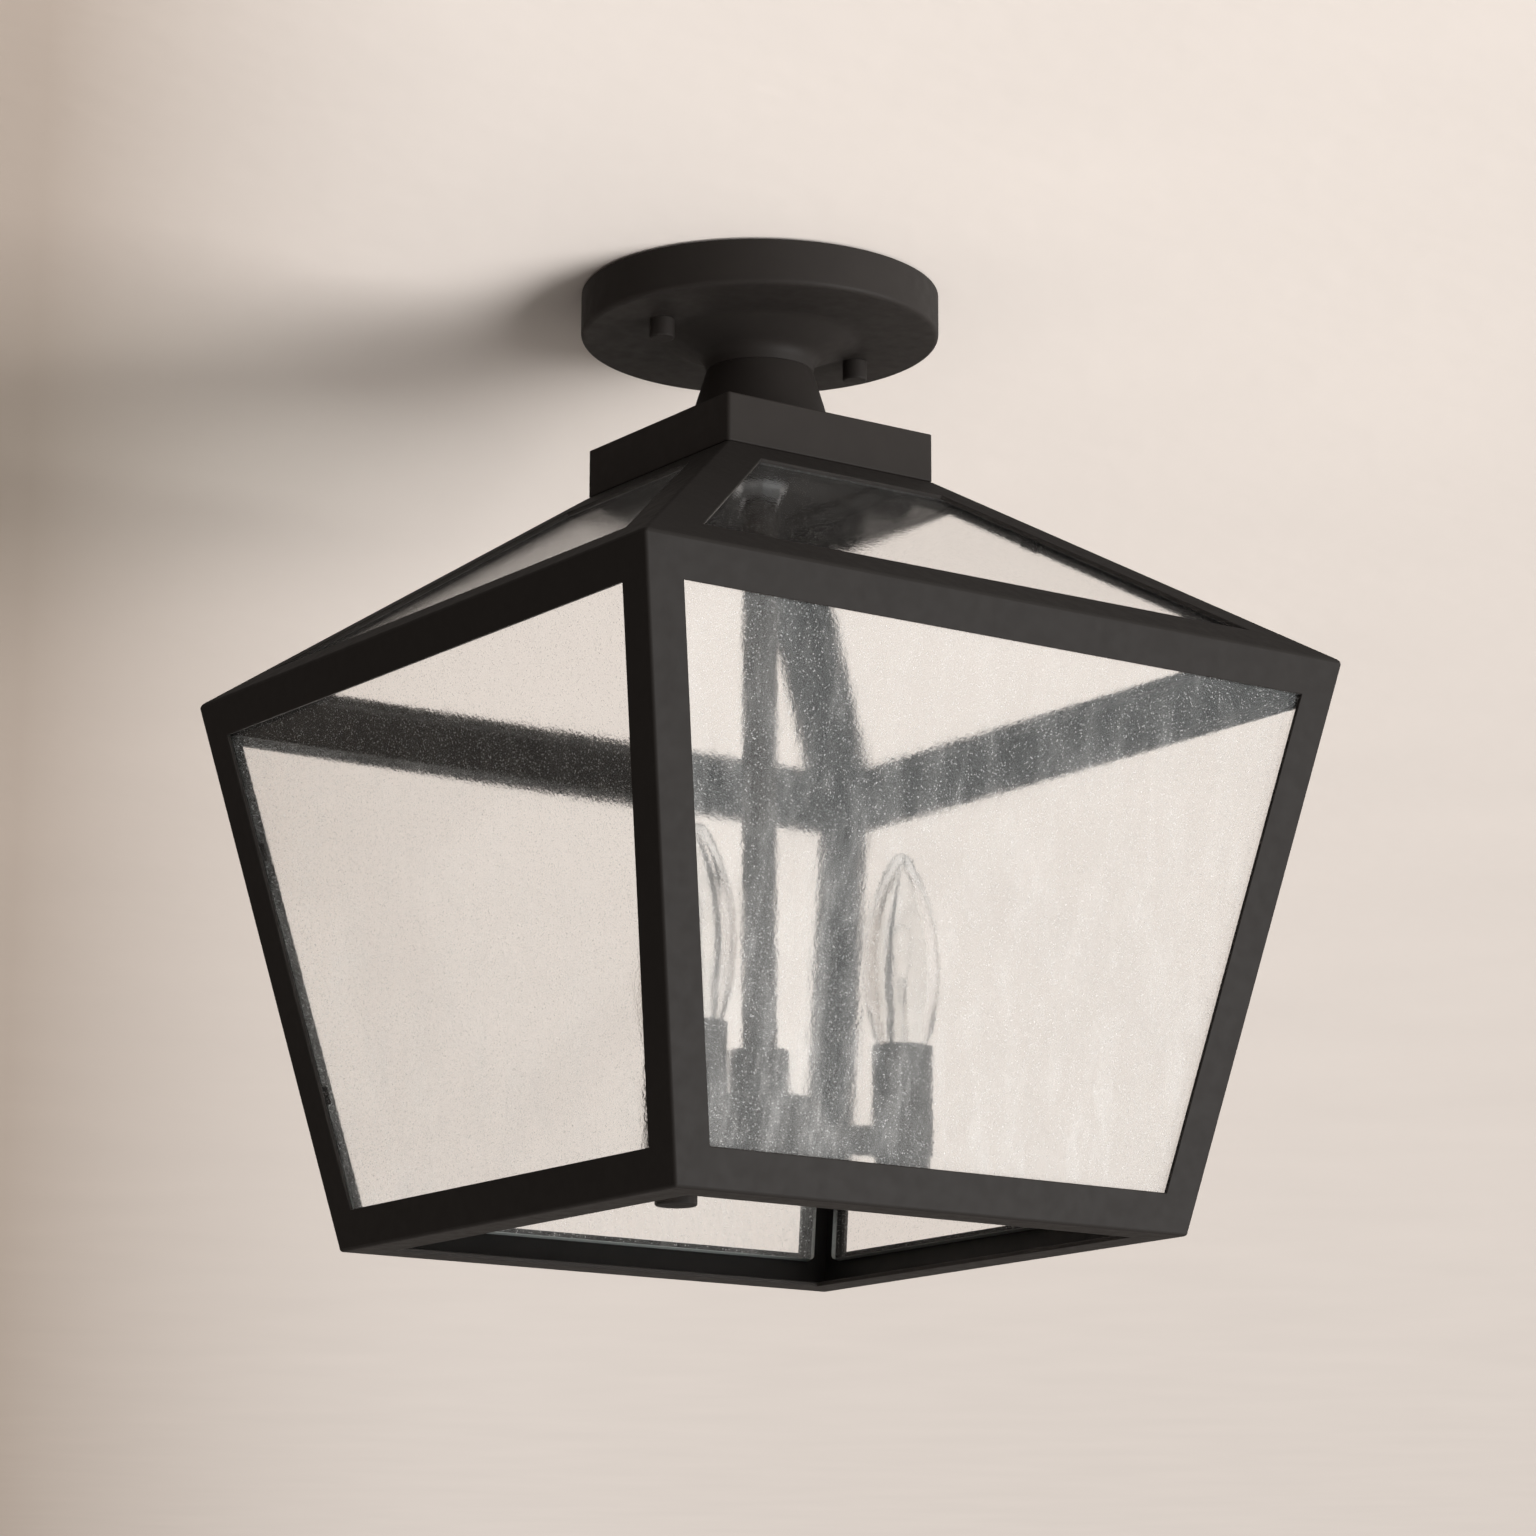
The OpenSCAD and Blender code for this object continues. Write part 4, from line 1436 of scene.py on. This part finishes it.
@dataclass
class CeilingFitting:
    """Canopy, neck, cap and the two nuts under the canopy."""

    canopy_d: float = 135.0
    canopy_wall: float = 1.2
    edge_r: float = 2.0
    waist_d: float = 40.4
    foot_d: float = 57.0
    dip_h: float = 12.7
    dip_spread: float = 17.0
    dip_steep: float = 0.4
    dip_slant: float = 1.0
    dip_turn_r: float = 6.0
    dip_edge_r: float = 10.0
    pipe_r: float = 5.0
    neck_wall: float = 2.5
    neck_top: float = 3.0
    cap_w: float = 93.0
    cap_wall: float = 1.6
    cap_round: float = 1.5
    cap_rim_share: float = 0.45
    cap_inner_share: float = 0.15
    stud_spacing: float = 88.9
    nut_d: float = 9.3
    nut_h: float = 7.5
    nut_ease: float = 0.8
    nut_bore_r: float = 2.15
    nut_depth: float = 5.5

    def canopy(self) -> None:
        """Builds the canopy: a spun dish with a rounded edge and a dip round the neck."""
        face, waist, low = LEVELS.canopy_face, LEVELS.waist, self.waist_d / 2
        line = [
            Corner(self.canopy_d / 2, 0.0),
            Corner(self.canopy_d / 2, face, self.edge_r),
            Corner(low + self.dip_spread, face, self.dip_edge_r),
            Corner(low + self.dip_slant, waist + self.dip_steep * self.dip_h, self.dip_turn_r),
            Corner(low, waist, 0.25),
            Corner(self.pipe_r, waist),
        ]
        outline = rounded_outline(sheet_corners(line, self.canopy_wall), 9)
        # The canopy takes the lighter copy of the coat: painted light.
        TURNERY.coated("canopy_shell", outline, "canopy", COAT_PAINTED_LIGHT)

    def neck(self) -> None:
        """Builds the neck: a cone that is closed above but for the pipe's hole."""
        waist, foot, top = self.waist_d / 2, self.foot_d / 2, LEVELS.waist - self.neck_top
        share = self.neck_top / (LEVELS.waist - LEVELS.cap)
        inside = waist + (foot - waist) * share - self.neck_wall
        corners = [
            Corner(self.pipe_r, LEVELS.waist, 0.3),
            Corner(waist, LEVELS.waist, 0.4),
            Corner(foot, LEVELS.cap, 0.25),
            Corner(foot - self.neck_wall, LEVELS.cap, 0.25),
            Corner(inside, top, 1.2),
            Corner(self.pipe_r, top, 0.3),
        ]
        # The neck takes the lighter copy of the coat: painted light.
        TURNERY.coated("neck_cone", rounded_outline(corners), "neck", COAT_PAINTED_LIGHT)

    def cap(self) -> None:
        """Builds the square cap as a folded shell, open below."""
        mesh = bmesh.new()
        outer, inner = self.cap_w / 2, self.cap_w / 2 - self.cap_wall
        foot, roof = LEVELS.crown, LEVELS.cap
        levels = ((outer, foot), (outer, roof), (inner, roof - self.cap_wall), (inner, foot))
        loops = [
            [mesh.verts.new((x * half, y * half, z)) for x, y in SQUARE] for half, z in levels
        ]
        mesh.faces.new(loops[1])
        mesh.faces.new(loops[2][::-1])
        for low, high in ((0, 1), (2, 3), (3, 0)):
            add_band(mesh, loops[low], loops[high])
        bmesh.ops.recalc_face_normals(mesh, faces=mesh.faces)
        soft = mesh.edges.layers.float.new("bevel_weight_edge")
        for edge in mesh.edges:
            a, b = (vert.co for vert in edge.verts)
            upright = abs(a.x - b.x) < TINY and abs(a.y - b.y) < TINY
            outside = abs(abs(a.x) - outer) < TINY and abs(abs(b.x) - outer) < TINY
            level = self.cap_rim_share if outside else self.cap_inner_share
            edge[soft] = 1.0 if upright and outside else level
        piece = weighted_bevel(
            new_piece("cap_shell", mesh, 60.0), "folded edges", self.cap_round, 4
        )
        # The cap takes the lighter copy of the coat: painted light.
        settle(COAT_PAINTED_LIGHT.dress(piece), BODY, ["cap"])

    def nuts(self) -> None:
        """Builds the two small round nuts."""
        top, r, bore = LEVELS.canopy_face, self.nut_d / 2, self.nut_bore_r
        corners = [
            Corner(0.0, top - self.nut_h),
            Corner(r, top - self.nut_h, self.nut_ease),
            Corner(r, top, 0.15),
            Corner(bore, top, 0.3),
            Corner(bore, top - self.nut_depth),
            Corner(0.0, top - self.nut_depth),
        ]
        for word, x in (("left", -1), ("right", 1)):
            place = Matrix.Translation((x * self.stud_spacing / 2, 0, 0))
            # The nuts take the lighter copy of the coat: painted light.
            piece = TURNERY.make(f"round_nut_{word}", rounded_outline(corners), COAT_PAINTED_LIGHT, place)
            settle(piece, f"thumb_nut_{word}", [f"thumb_nut_{word}"])

    def build(self) -> None:
        """Builds the fitting from the ceiling down."""
        self.canopy()
        self.neck()
        self.cap()
        self.nuts()


@dataclass
class Cluster:
    """Stem, hub, arms, cups and candle sleeves."""

    stem_d: float = 12.7
    pipe_hole: float = 9.8
    collar_d: float = 22.0
    collar_h: float = 18.1
    hub_d: float = 44.5
    hub_wall: float = 3.0
    hub_round: float = 1.5
    cover_t: float = 1.6
    cover_lip: float = 2.0
    arm_d: float = 11.0
    arm_wall: float = 1.5
    sleeve_d: float = 22.0
    sleeve_wall: float = 1.2
    foot_d: float = 20.0
    cup_bore: float = 6.0
    cup_r: float = 4.8
    nut_d: float = 16.0
    nut_h: float = 5.3
    nut_spigot: float = 5.0

    def stem(self) -> None:
        """Builds the stem and the collar at its foot."""
        hub = LEVELS.hub_top
        tube = TURNERY.tube(hub, LEVELS.stem_top, self.stem_d, self.pipe_hole, 0.4)
        TURNERY.coated("stem_tube", tube, "stem")
        tube = TURNERY.tube(hub, hub + self.collar_h, self.collar_d, self.stem_d + 0.2, 0.9)
        TURNERY.coated("collar_ring", tube, "hub_collar")

    def hub(self) -> None:
        """Builds the hub's shell and its cover."""
        r, wall, top, end = self.hub_d / 2, self.hub_wall, LEVELS.hub_top, LEVELS.hub_end
        bore = self.pipe_hole / 2
        shell = [
            Corner(bore, top),
            Corner(r, top, self.hub_round),
            Corner(r, end, 0.2),
            Corner(r - wall, end, 0.2),
            Corner(r - wall, top - wall, 1.0),
            Corner(bore, top - wall),
        ]
        TURNERY.coated("hub_shell", rounded_outline(shell), "hub_body")
        lid, rim = self.cover_t, r - wall - 0.1
        cover = [
            Corner(0.0, end - lid),
            Corner(r, end - lid, 0.8),
            Corner(r, end, 0.15),
            Corner(rim, end),
            Corner(rim, end + self.cover_lip, 0.3),
            Corner(rim - lid, end + self.cover_lip, 0.3),
            Corner(rim - lid, end),
            Corner(0.0, end),
        ]
        TURNERY.coated("hub_lid", rounded_outline(cover), "hub_cover")

    def arm(self, candle: Candle) -> None:
        """Builds an arm with its cup, the nut under it and the sleeve on it.

        Args:
            candle: Which candle the arm carries.
        """
        word, upright = candle.word, candle.place(0.0)
        level = Matrix.Translation((0, 0, LEVELS.arm))
        lying = candle.turn @ level @ Matrix.Rotation(math.pi / 2, 4, "Y")
        start = self.hub_d / 2 - self.hub_wall
        reach = CANDLE_R - self.cup_bore / 2 - self.arm_wall
        rod = TURNERY.tube(start, reach, self.arm_d, self.arm_d - 2 * self.arm_wall, 0.2)
        TURNERY.coated(f"arm_tube_{word}", rod, f"arm_{word}", place=lying)
        r, foot, bore = self.sleeve_d / 2, self.foot_d / 2, self.cup_bore / 2
        cup = [
            Corner(bore, LEVELS.cup_end),
            Corner(foot, LEVELS.cup_end, 0.8),
            Corner(foot, LEVELS.cup_step),
            Corner(r, LEVELS.cup_step, 0.3),
            Corner(r, LEVELS.cup_top, 0.15),
            Corner(self.cup_r, LEVELS.cup_top),
            Corner(self.cup_r, LEVELS.socket_floor, 0.2),
            Corner(bore, LEVELS.socket_floor),
        ]
        name = f"candle_cup_{word}"
        TURNERY.coated(f"cup_{word}", rounded_outline(cup), name, place=upright)
        inside = self.sleeve_d - 2 * self.sleeve_wall
        tube = TURNERY.tube(LEVELS.cup_top, LEVELS.sleeve_top, self.sleeve_d, inside, 0.35)
        TURNERY.coated(f"candle_sleeve_{word}", tube, f"sleeve_{word}", place=upright)
        end, spigot = LEVELS.cup_end, bore - 0.1
        nut = [
            Corner(0.0, end - self.nut_h),
            Corner(self.nut_d / 2, end - self.nut_h, 0.8),
            Corner(self.nut_d / 2, end, 0.2),
            Corner(spigot, end),
            Corner(spigot, end + self.nut_spigot, 0.3),
            Corner(0.0, end + self.nut_spigot),
        ]
        piece = TURNERY.make(f"cup_nut_{word}", rounded_outline(nut), COAT, upright)
        settle(piece, BODY, ["cup_nuts"] if candle is Candle.BACK else [])

    def build(self) -> None:
        """Builds the cluster from the stem outwards."""
        self.stem()
        self.hub()
        for candle in Candle:
            self.arm(candle)


@dataclass
class TorpedoLamp:
    """A clear torpedo lamp: glass, inner mount with its wires, and a screw base."""

    candle: Candle
    base_d: float = 11.84
    base_h: float = 16.6
    glass_d: float = 28.0
    belly: float = 36.4
    tip_r: float = 4.2
    wall: float = 4.2
    foot_wall: float = 0.8
    wall_growth: float = 0.25
    mount_h: float = 33.0
    rod_r: float = 2.0
    bead_r: float = 1.95
    socket_d: float = 16.5
    thread_pitch: float = 2.4
    thread_depth: float = 0.45
    wire_r: float = 0.16
    coil_r: float = 0.28
    coil_turns: int = 15
    coil_half: float = 3.2
    coil_rise: float = 17.0
    coil_sag: float = 2.2

    def glass_line(self, inset: float) -> list[Point2]:
        """Half outline of the glass from its foot to its tip.

        Args:
            inset: How far inside the outer face.

        Returns:
            The line's points.
        """
        swell = (self.glass_d - self.base_d) / 2
        arc_r = (self.belly**2 + swell**2) / (2 * swell)
        arc_x = self.glass_d / 2 - arc_r
        rise = math.sqrt((arc_r - self.tip_r) ** 2 - arc_x**2)
        foot = -math.asin(self.belly / (arc_r - min(inset, self.foot_wall)))
        top = math.atan2(rise, -arc_x)
        line = []
        steps, tip_steps = 48, 10
        for k in range(steps + 1):
            a = foot + (top - foot) * k / steps
            r = arc_r - min(inset, self.foot_wall + self.wall_growth * k)
            line.append((arc_x + r * math.cos(a), self.belly + r * math.sin(a)))
        tip = self.tip_r - inset
        for k in range(1, tip_steps + 1):
            a = top + (math.pi / 2 - top) * k / tip_steps
            line.append((tip * math.cos(a), self.belly + rise + tip * math.sin(a)))
        line[-1] = (0.0, line[-1][1])
        return line

    def glass(self) -> None:
        """Builds the blown glass as a thin shell."""
        outline = self.glass_line(0.0) + self.glass_line(self.wall)[::-1]
        mesh = turned_mesh(outline, self.candle.place(LEVELS.lamp), 128)
        piece = LAMP_GLASS.dress(new_piece(f"lamp_shell_{self.candle.word}", mesh, 50.0))
        settle(piece, self.candle.body, [f"lamp_glass_{self.candle.word}"])

    def mount(self) -> None:
        """Builds the glass mount: a flare that narrows to a rod with a bead."""
        flare = self.base_d / 2 - 2 * self.foot_wall
        rod, bead, top = self.rod_r, self.bead_r, self.mount_h
        rim_h, flare_h, hollow, steps, bead_steps = 0.6, 8.4, 1.6, 12, 8
        line = [(0.0, 0.0), (flare, 0.0), (flare, rim_h)]
        for k in range(1, steps + 1):
            t = k / steps
            line.append((rod + (flare - rod) * (1 - t) ** hollow, rim_h + flare_h * t))
        line += [(1.9, top - 7.0), (1.55, top - 4.5)]
        for k in range(bead_steps + 1):
            a = -math.pi / 4 + (3 * math.pi / 4) * k / bead_steps
            line.append((bead * math.cos(a), top - 2.0 + bead * math.sin(a)))
        line[-1] = (0.0, line[-1][1])
        mesh = turned_mesh(line, self.candle.place(LEVELS.lamp), 48, False)
        piece = LAMP_GLASS.dress(new_piece(f"lamp_stalk_{self.candle.word}", mesh, 50.0))
        settle(piece, self.candle.body, [f"lamp_mount_{self.candle.word}"])

    def wires(self) -> None:
        """Builds the two lead wires and the fine coil between them."""
        place = self.candle.place(LEVELS.lamp)
        top = self.mount_h
        curve = bpy.data.curves.new(f"lamp_wires_{self.candle.word}", "CURVE")
        curve.dimensions = "3D"
        curve.bevel_depth = self.wire_r * MM
        curve.bevel_resolution = 3
        half, rise = self.coil_half, self.coil_rise
        lead = [(0.8, -9), (1.0, -1), (2.6, 3), (3.6, 12), (half, rise)]
        for side in (-1, 1):
            self.strand(curve, [Vector((side * x, 0.0, top + z)) for x, z in lead], place, 1.0)
        coil = []
        steps = 8 * self.coil_turns
        for k in range(steps + 1):
            t = k / steps
            a = FULL_TURN * self.coil_turns * t
            z = top + rise + self.coil_sag * math.sin(math.pi * t) + self.coil_r * math.sin(a)
            coil.append(Vector((-half + 2 * half * t, self.coil_r * math.cos(a), z)))
        self.strand(curve, coil, place, 0.4)
        wire = stand(curve.name, curve)
        curve.materials.append(WIRE.material())
        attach(wire, self.candle.body)
        LOG.info("%s rides on %s", wire.name, self.candle.body)

    @staticmethod
    def strand(
        curve: bpy.types.Curve, points: Sequence[Vector], place: Matrix, thickness: float
    ) -> None:
        """Adds one wire to a curve.

        Args:
            curve: The curve.
            points: The wire's points in millimetres, in the lamp's own place.
            place: The lamp's place.
            thickness: Thickness, as a share of the curve's own.
        """
        line = curve.splines.new("POLY")
        line.points.add(len(points) - 1)
        for spot, point in zip(line.points, points):
            spot.co = (*((place @ point) * MM), 1.0)
            spot.radius = thickness

    def base(self) -> None:
        """Builds the screw base: a rolled thread over a resin foot and a contact."""
        mesh = bmesh.new()
        place = self.candle.place(LEVELS.contact)
        r, top = self.base_d / 2, self.base_h
        around, rows, low, high, run_out, slack = 72, 44, 4.6, 13.4, 1.2, 0.02
        foot = [(0.0, 0.0), (1.7, 0.0), (2.0, 0.3), (2.0, 1.4), (r - 1.2, 3.4), (r - 0.35, 4.0)]
        head = [(r, 13.8), (r, top - 0.3), (r - 0.3, top), (0.0, top)]
        loops = [add_ring(mesh, place, [radius] * around, z) for radius, z in foot]
        for z in (low + (high - low) * i / rows for i in range(rows + 1)):
            fade = max(0.0, min(1.0, (z - low) / run_out, (high - z) / run_out))
            radii = []
            for k in range(around):
                phase = FULL_TURN * (z / self.thread_pitch - k / around)
                dip = self.thread_depth * (0.5 - 0.5 * math.cos(phase)) * fade
                radii.append(r - slack - dip)
            loops.append(add_ring(mesh, place, radii, z))
        loops += [add_ring(mesh, place, [radius] * around, z) for radius, z in head]
        for i, (lower, upper) in enumerate(zip(loops, loops[1:])):
            add_band(mesh, lower, upper, 1 if i in (3, 4) else 0)
        piece = new_piece(f"lamp_screw_{self.candle.word}", mesh, 50.0)
        piece.data.materials.append(BRASS.material())
        piece.data.materials.append(RESIN.material())
        settle(piece, self.candle.body, [f"lamp_base_{self.candle.word}"])

    def socket(self) -> None:
        """Builds the resin socket that the base screws into."""
        floor, top = LEVELS.socket_floor, LEVELS.socket_top
        r, bore = self.socket_d / 2, self.base_d / 2 + 0.08
        cup = [
            Corner(0.0, floor),
            Corner(r, floor, 0.5),
            Corner(r, top, 0.5),
            Corner(bore, top, 0.35),
            Corner(bore, LEVELS.contact),
            Corner(0.0, LEVELS.contact),
        ]
        word = self.candle.word
        place = self.candle.place(0.0)
        piece = TURNERY.make(f"socket_cup_{word}", rounded_outline(cup), RESIN, place)
        settle(piece, BODY, [f"socket_{word}"])

    def build(self) -> None:
        """Builds the lamp and its socket."""
        self.socket()
        self.base()
        self.mount()
        self.wires()
        self.glass()


class HiddenWork:
    """Nodes of the part that stay as they are: plates, studs, pipes and their nuts."""

    FINISHES: dict[str, Finish] = {
        "mounting_plate": ZINC,
        "mounting_studs": ZINC,
        "ground_screw": GREEN,
        "center_pipe": ZINC,
        "hub_pipe": ZINC,
        "pipe_washers": ZINC,
        "pipe_nuts": ZINC,
        # The top plate inside the cap takes the darker copy of the coat: painted shade.
        "top_plate": COAT_PAINTED_SHADE,
    }

    def build(self) -> None:
        """Gives each node its finish."""
        for name, finish in self.FINISHES.items():
            node = frame["nodes"][name]
            if not node.material_slots:
                node.data.materials.append(finish.material())
            for slot in node.material_slots:
                slot.material = finish.material()
            LOG.info("%s keeps its shape, finish %s", name, finish.name)


# ---- Ceiling, floor, light and camera ----------------------------------------------------


@dataclass(frozen=True)
class PlasterCeiling(Finish):
    """Smooth pale plaster, seen from below only, with painted shade that darkens it away from a
    bright part of the room.

    The painted light and shade change with the direction and the distance from one fixed point of
    the room, straight above the camera.
    """

    # Shaded and lit tones of the plaster's painted light and shade.
    painted_shade_tone: Rgb = (0.435, 0.366, 0.314)
    painted_light_tone: Rgb = (0.715, 0.652, 0.606)
    point: Point2 = (-0.9526, -1.3587)
    ahead_deg: float = 35.157
    fan: Point2 = (-0.1667, -0.0464)
    painted_falloff: Point2 = (0.875, 0.325)
    nearest: float = 0.6
    mottle_mm: float = 190.0
    mottle: Point2 = (0.985, 1.015)
    trowel_mm: float = 14.0
    trowel_depth_mm: float = 0.12

    def fill(self, tree: Tree) -> None:
        """Builds the plaster: its painted light and shade, faint trowel marks and no upper face.

        Args:
            tree: The empty tree.
        """
        turn = math.radians(self.ahead_deg)
        start = tree.add("VectorMath", operation="SUBTRACT")
        tree.put(start.inputs[0], tree.place())
        tree.put(start.inputs[1], (*self.point, 0.0))
        along = tree.dot(start.outputs["Vector"], (math.sin(turn), math.cos(turn), 0.0))
        across = tree.dot(start.outputs["Vector"], (math.cos(turn), -math.sin(turn), 0.0))
        # Painted light and shade: darker to the left of the line ahead from the fixed point,
        # brighter nearer to it.
        depth = tree.math("MAXIMUM", along, self.nearest)
        rest = tree.remap(tree.math("DIVIDE", across, depth), self.fan, (1.0, 0.0))
        share = tree.math("SUBTRACT", 1.0, tree.math("MULTIPLY", rest, rest))
        level = tree.math("ADD", self.painted_falloff[0], tree.math("DIVIDE", self.painted_falloff[1], depth))
        mottle = tree.spread(self.mottle_mm, self.mottle, 3.0)
        skin = tree.add("BsdfDiffuse")
        colour = tree.add("VectorMath", operation="SCALE")
        tree.put(colour.inputs[0], tree.blend(share, self.painted_shade_tone, self.painted_light_tone))
        tree.put(colour.inputs["Scale"], tree.math("MULTIPLY", level, mottle))
        tree.put(skin.inputs["Color"], colour.outputs["Vector"])
        marks = tree.bump(tree.noise(self.trowel_mm, 3.0), self.trowel_depth_mm)
        tree.put(skin.inputs["Normal"], marks)
        above = tree.add("NewGeometry").outputs["Backfacing"]
        tree.mix(above, skin, tree.add("BsdfTransparent"))


@dataclass(frozen=True)
class PaleFloor(Finish):
    """Plain pale floor far below the lantern; to the camera it glows a little, so it stays pale."""

    tone: Rgb = (0.80, 0.765, 0.735)
    glow: Rgb = (0.50, 0.465, 0.44)
    mottle_mm: float = 300.0
    mottle_low: float = 0.97

    def fill(self, tree: Tree) -> None:
        """Builds the floor.

        Args:
            tree: The empty tree.
        """
        skin = tree.add("BsdfDiffuse")
        low = tuple(c * self.mottle_low for c in self.tone)
        tone = tree.blend(tree.noise(self.mottle_mm, 3.0), low, self.tone)
        tree.put(skin.inputs["Color"], tone)
        glow = tree.add("Emission")
        glow.inputs["Color"].default_value = (*self.glow, 1.0)
        tree.put(glow.inputs["Strength"], tree.looked_at())
        both = tree.add("AddShader")
        tree.put(both.inputs[0], skin.outputs["BSDF"])
        tree.put(both.inputs[1], glow.outputs["Emission"])
        tree.surface(both.outputs["Shader"])


@dataclass
class Studio:
    """The stage: ceiling, floor, world, lamps and the camera at the photograph's place."""

    ceiling_gap: float = 1.0
    floor_z: float = -2400.0
    half_size: float = 30000.0
    focal_px: float = 4603.2
    image_px: float = 1536.0
    yaw: float = 0.6136
    pitch: float = 0.2253
    roll: float = 0.0026
    eye: Point3 = (-952.6, -1358.7, -562.7)
    key_from: Point3 = (0.58, -0.72, -0.38)
    key_spot: Point3 = (1.17, -2.29, -1.12)
    key_aim: Point3 = (0.0, 0.0, -0.22)
    key_size: Point2 = (3.0, 2.1)
    key_power: float = 44.0
    wash_spot: Point3 = (1.004, -2.757, -0.624)
    wash_power: float = 10.0
    wash_deg: float = 44.0
    dark_side: Rgb = (0.074, 0.061, 0.053)
    key_side: Rgb = (0.69, 0.665, 0.63)
    turn: Point2 = (-0.4, 0.98)
    from_above: float = 0.16
    horizon: Rgb = (0.60, 0.55, 0.51)

    def sheet(self, name: str, z: float, upward: bool, finish: Finish) -> bpy.types.Object:
        """Builds one large level sheet of the stage.

        Args:
            name: Its name.
            z: Its height.
            upward: Whether it faces up.
            finish: Its finish.

        Returns:
            The sheet.
        """
        mesh = bmesh.new()
        half = self.half_size
        loop = [mesh.verts.new((x * half * MM, y * half * MM, z * MM)) for x, y in SQUARE]
        mesh.faces.new(loop if upward else loop[::-1])
        data = bpy.data.meshes.new(name)
        mesh.to_mesh(data)
        mesh.free()
        piece = finish.dress(stand(name, data))
        piece.visible_diffuse = False
        piece.visible_shadow = False
        return piece

    def world(self) -> None:
        """Lights the surroundings: paler towards the key lamp, darker away from it."""
        world = bpy.data.worlds.new("pale room")
        bpy.context.scene.world = world
        tree = Tree(world)
        ahead = tree.add("TexCoord").outputs["Generated"]
        facing = tree.dot(ahead, tuple(Vector(self.key_from).normalized()))
        share = tree.remap(facing, self.turn, (0.0, 1.0), True)
        above = tree.remap(tree.dot(ahead, UPWARD), (0.0, 1.0), (0.0, self.from_above))
        share = tree.math("ADD", share, above)
        light = tree.add("Background")
        tree.put(light.inputs["Color"], tree.blend(share, self.dark_side, self.key_side))
        pale = tree.add("Background")
        pale.inputs["Color"].default_value = (*self.horizon, 1.0)
        tree.mix(tree.looked_at(), light, pale)

    def lamp(
        self, name: str, kind: str, spot: Sequence[float], target: Sequence[float], power: float
    ) -> bpy.types.Object:
        """Adds a lamp that the camera and the glass don't see.

        Args:
            name: Its name.
            kind: AREA or SUN.
            spot: Where it is, in metres.
            target: Where it points, in metres.
            power: Its energy.

        Returns:
            The lamp.
        """
        data = bpy.data.lights.new(name, kind)
        data.energy = power
        lamp = stand(name, data)
        lamp.location = spot
        aim = Vector(target) - Vector(spot)
        lamp.rotation_mode = "QUATERNION"
        lamp.rotation_quaternion = aim.to_track_quat("-Z", "Y")
        lamp.visible_camera = False
        lamp.visible_transmission = False
        return lamp

    def lights(self, ceiling: bpy.types.Object) -> None:
        """Adds the key panel, and a low sun that only the ceiling takes.

        Args:
            ceiling: The ceiling.
        """
        panel = self.lamp("key_panel", "AREA", self.key_spot, self.key_aim, self.key_power)
        panel.data.shape = "RECTANGLE"
        panel.data.size, panel.data.size_y = self.key_size
        sun = self.lamp("ceiling_wash", "SUN", self.wash_spot, (0.0, 0.0, 0.0), self.wash_power)
        sun.data.angle = math.radians(self.wash_deg)
        sun.visible_glossy = False
        for lamp, state in ((panel, "EXCLUDE"), (sun, "INCLUDE")):
            taker = bpy.data.collections.new(f"{lamp.name}_takers")
            taker.objects.link(ceiling)
            taker.collection_objects[0].light_linking.link_state = state
            lamp.light_linking.receiver_collection = taker

    def camera(self) -> None:
        """Adds the camera at the photograph's place."""
        data = bpy.data.cameras.new("photo_view")
        data.sensor_width = 36.0
        data.lens = self.focal_px / self.image_px * data.sensor_width
        data.clip_start, data.clip_end = 0.01, 200.0
        eye = stand("photo_view", data)
        level = math.cos(self.pitch)
        east, north = math.sin(self.yaw), math.cos(self.yaw)
        ahead = Vector((east * level, north * level, math.sin(self.pitch)))
        right = Vector((north, -east, 0.0))
        up = right.cross(ahead)
        c, s = math.cos(self.roll), math.sin(self.roll)
        right, up = right * c + up * s, up * c - right * s
        turn = Matrix((right, up, -ahead)).transposed().to_4x4()
        eye.matrix_world = Matrix.Translation(Vector(self.eye) * MM) @ turn
        bpy.context.scene.camera = eye

    def build(self) -> None:
        """Builds the stage."""
        bpy.context.scene.view_settings.view_transform = "Standard"
        ceiling = self.sheet("ceiling", self.ceiling_gap, False, PlasterCeiling("plaster"))
        ceiling.visible_glossy = False
        self.sheet("floor", self.floor_z, True, PaleFloor("pale_floor"))
        self.world()
        self.lights(ceiling)
        self.camera()
        LOG.info("stage, lamps and camera are in place")


def main() -> None:
    """Builds the lantern in order, then its stage."""
    logging.basicConfig(level=logging.INFO, format="%(name)s: %(message)s")
    Studio().build()
    CeilingFitting().build()
    bars = GlazedFrame()
    bars.build()
    Glazing(bars).build()
    Cluster().build()
    for candle in Candle:
        TorpedoLamp(candle).build()
    HiddenWork().build()


if __name__ == "__main__":
    main()
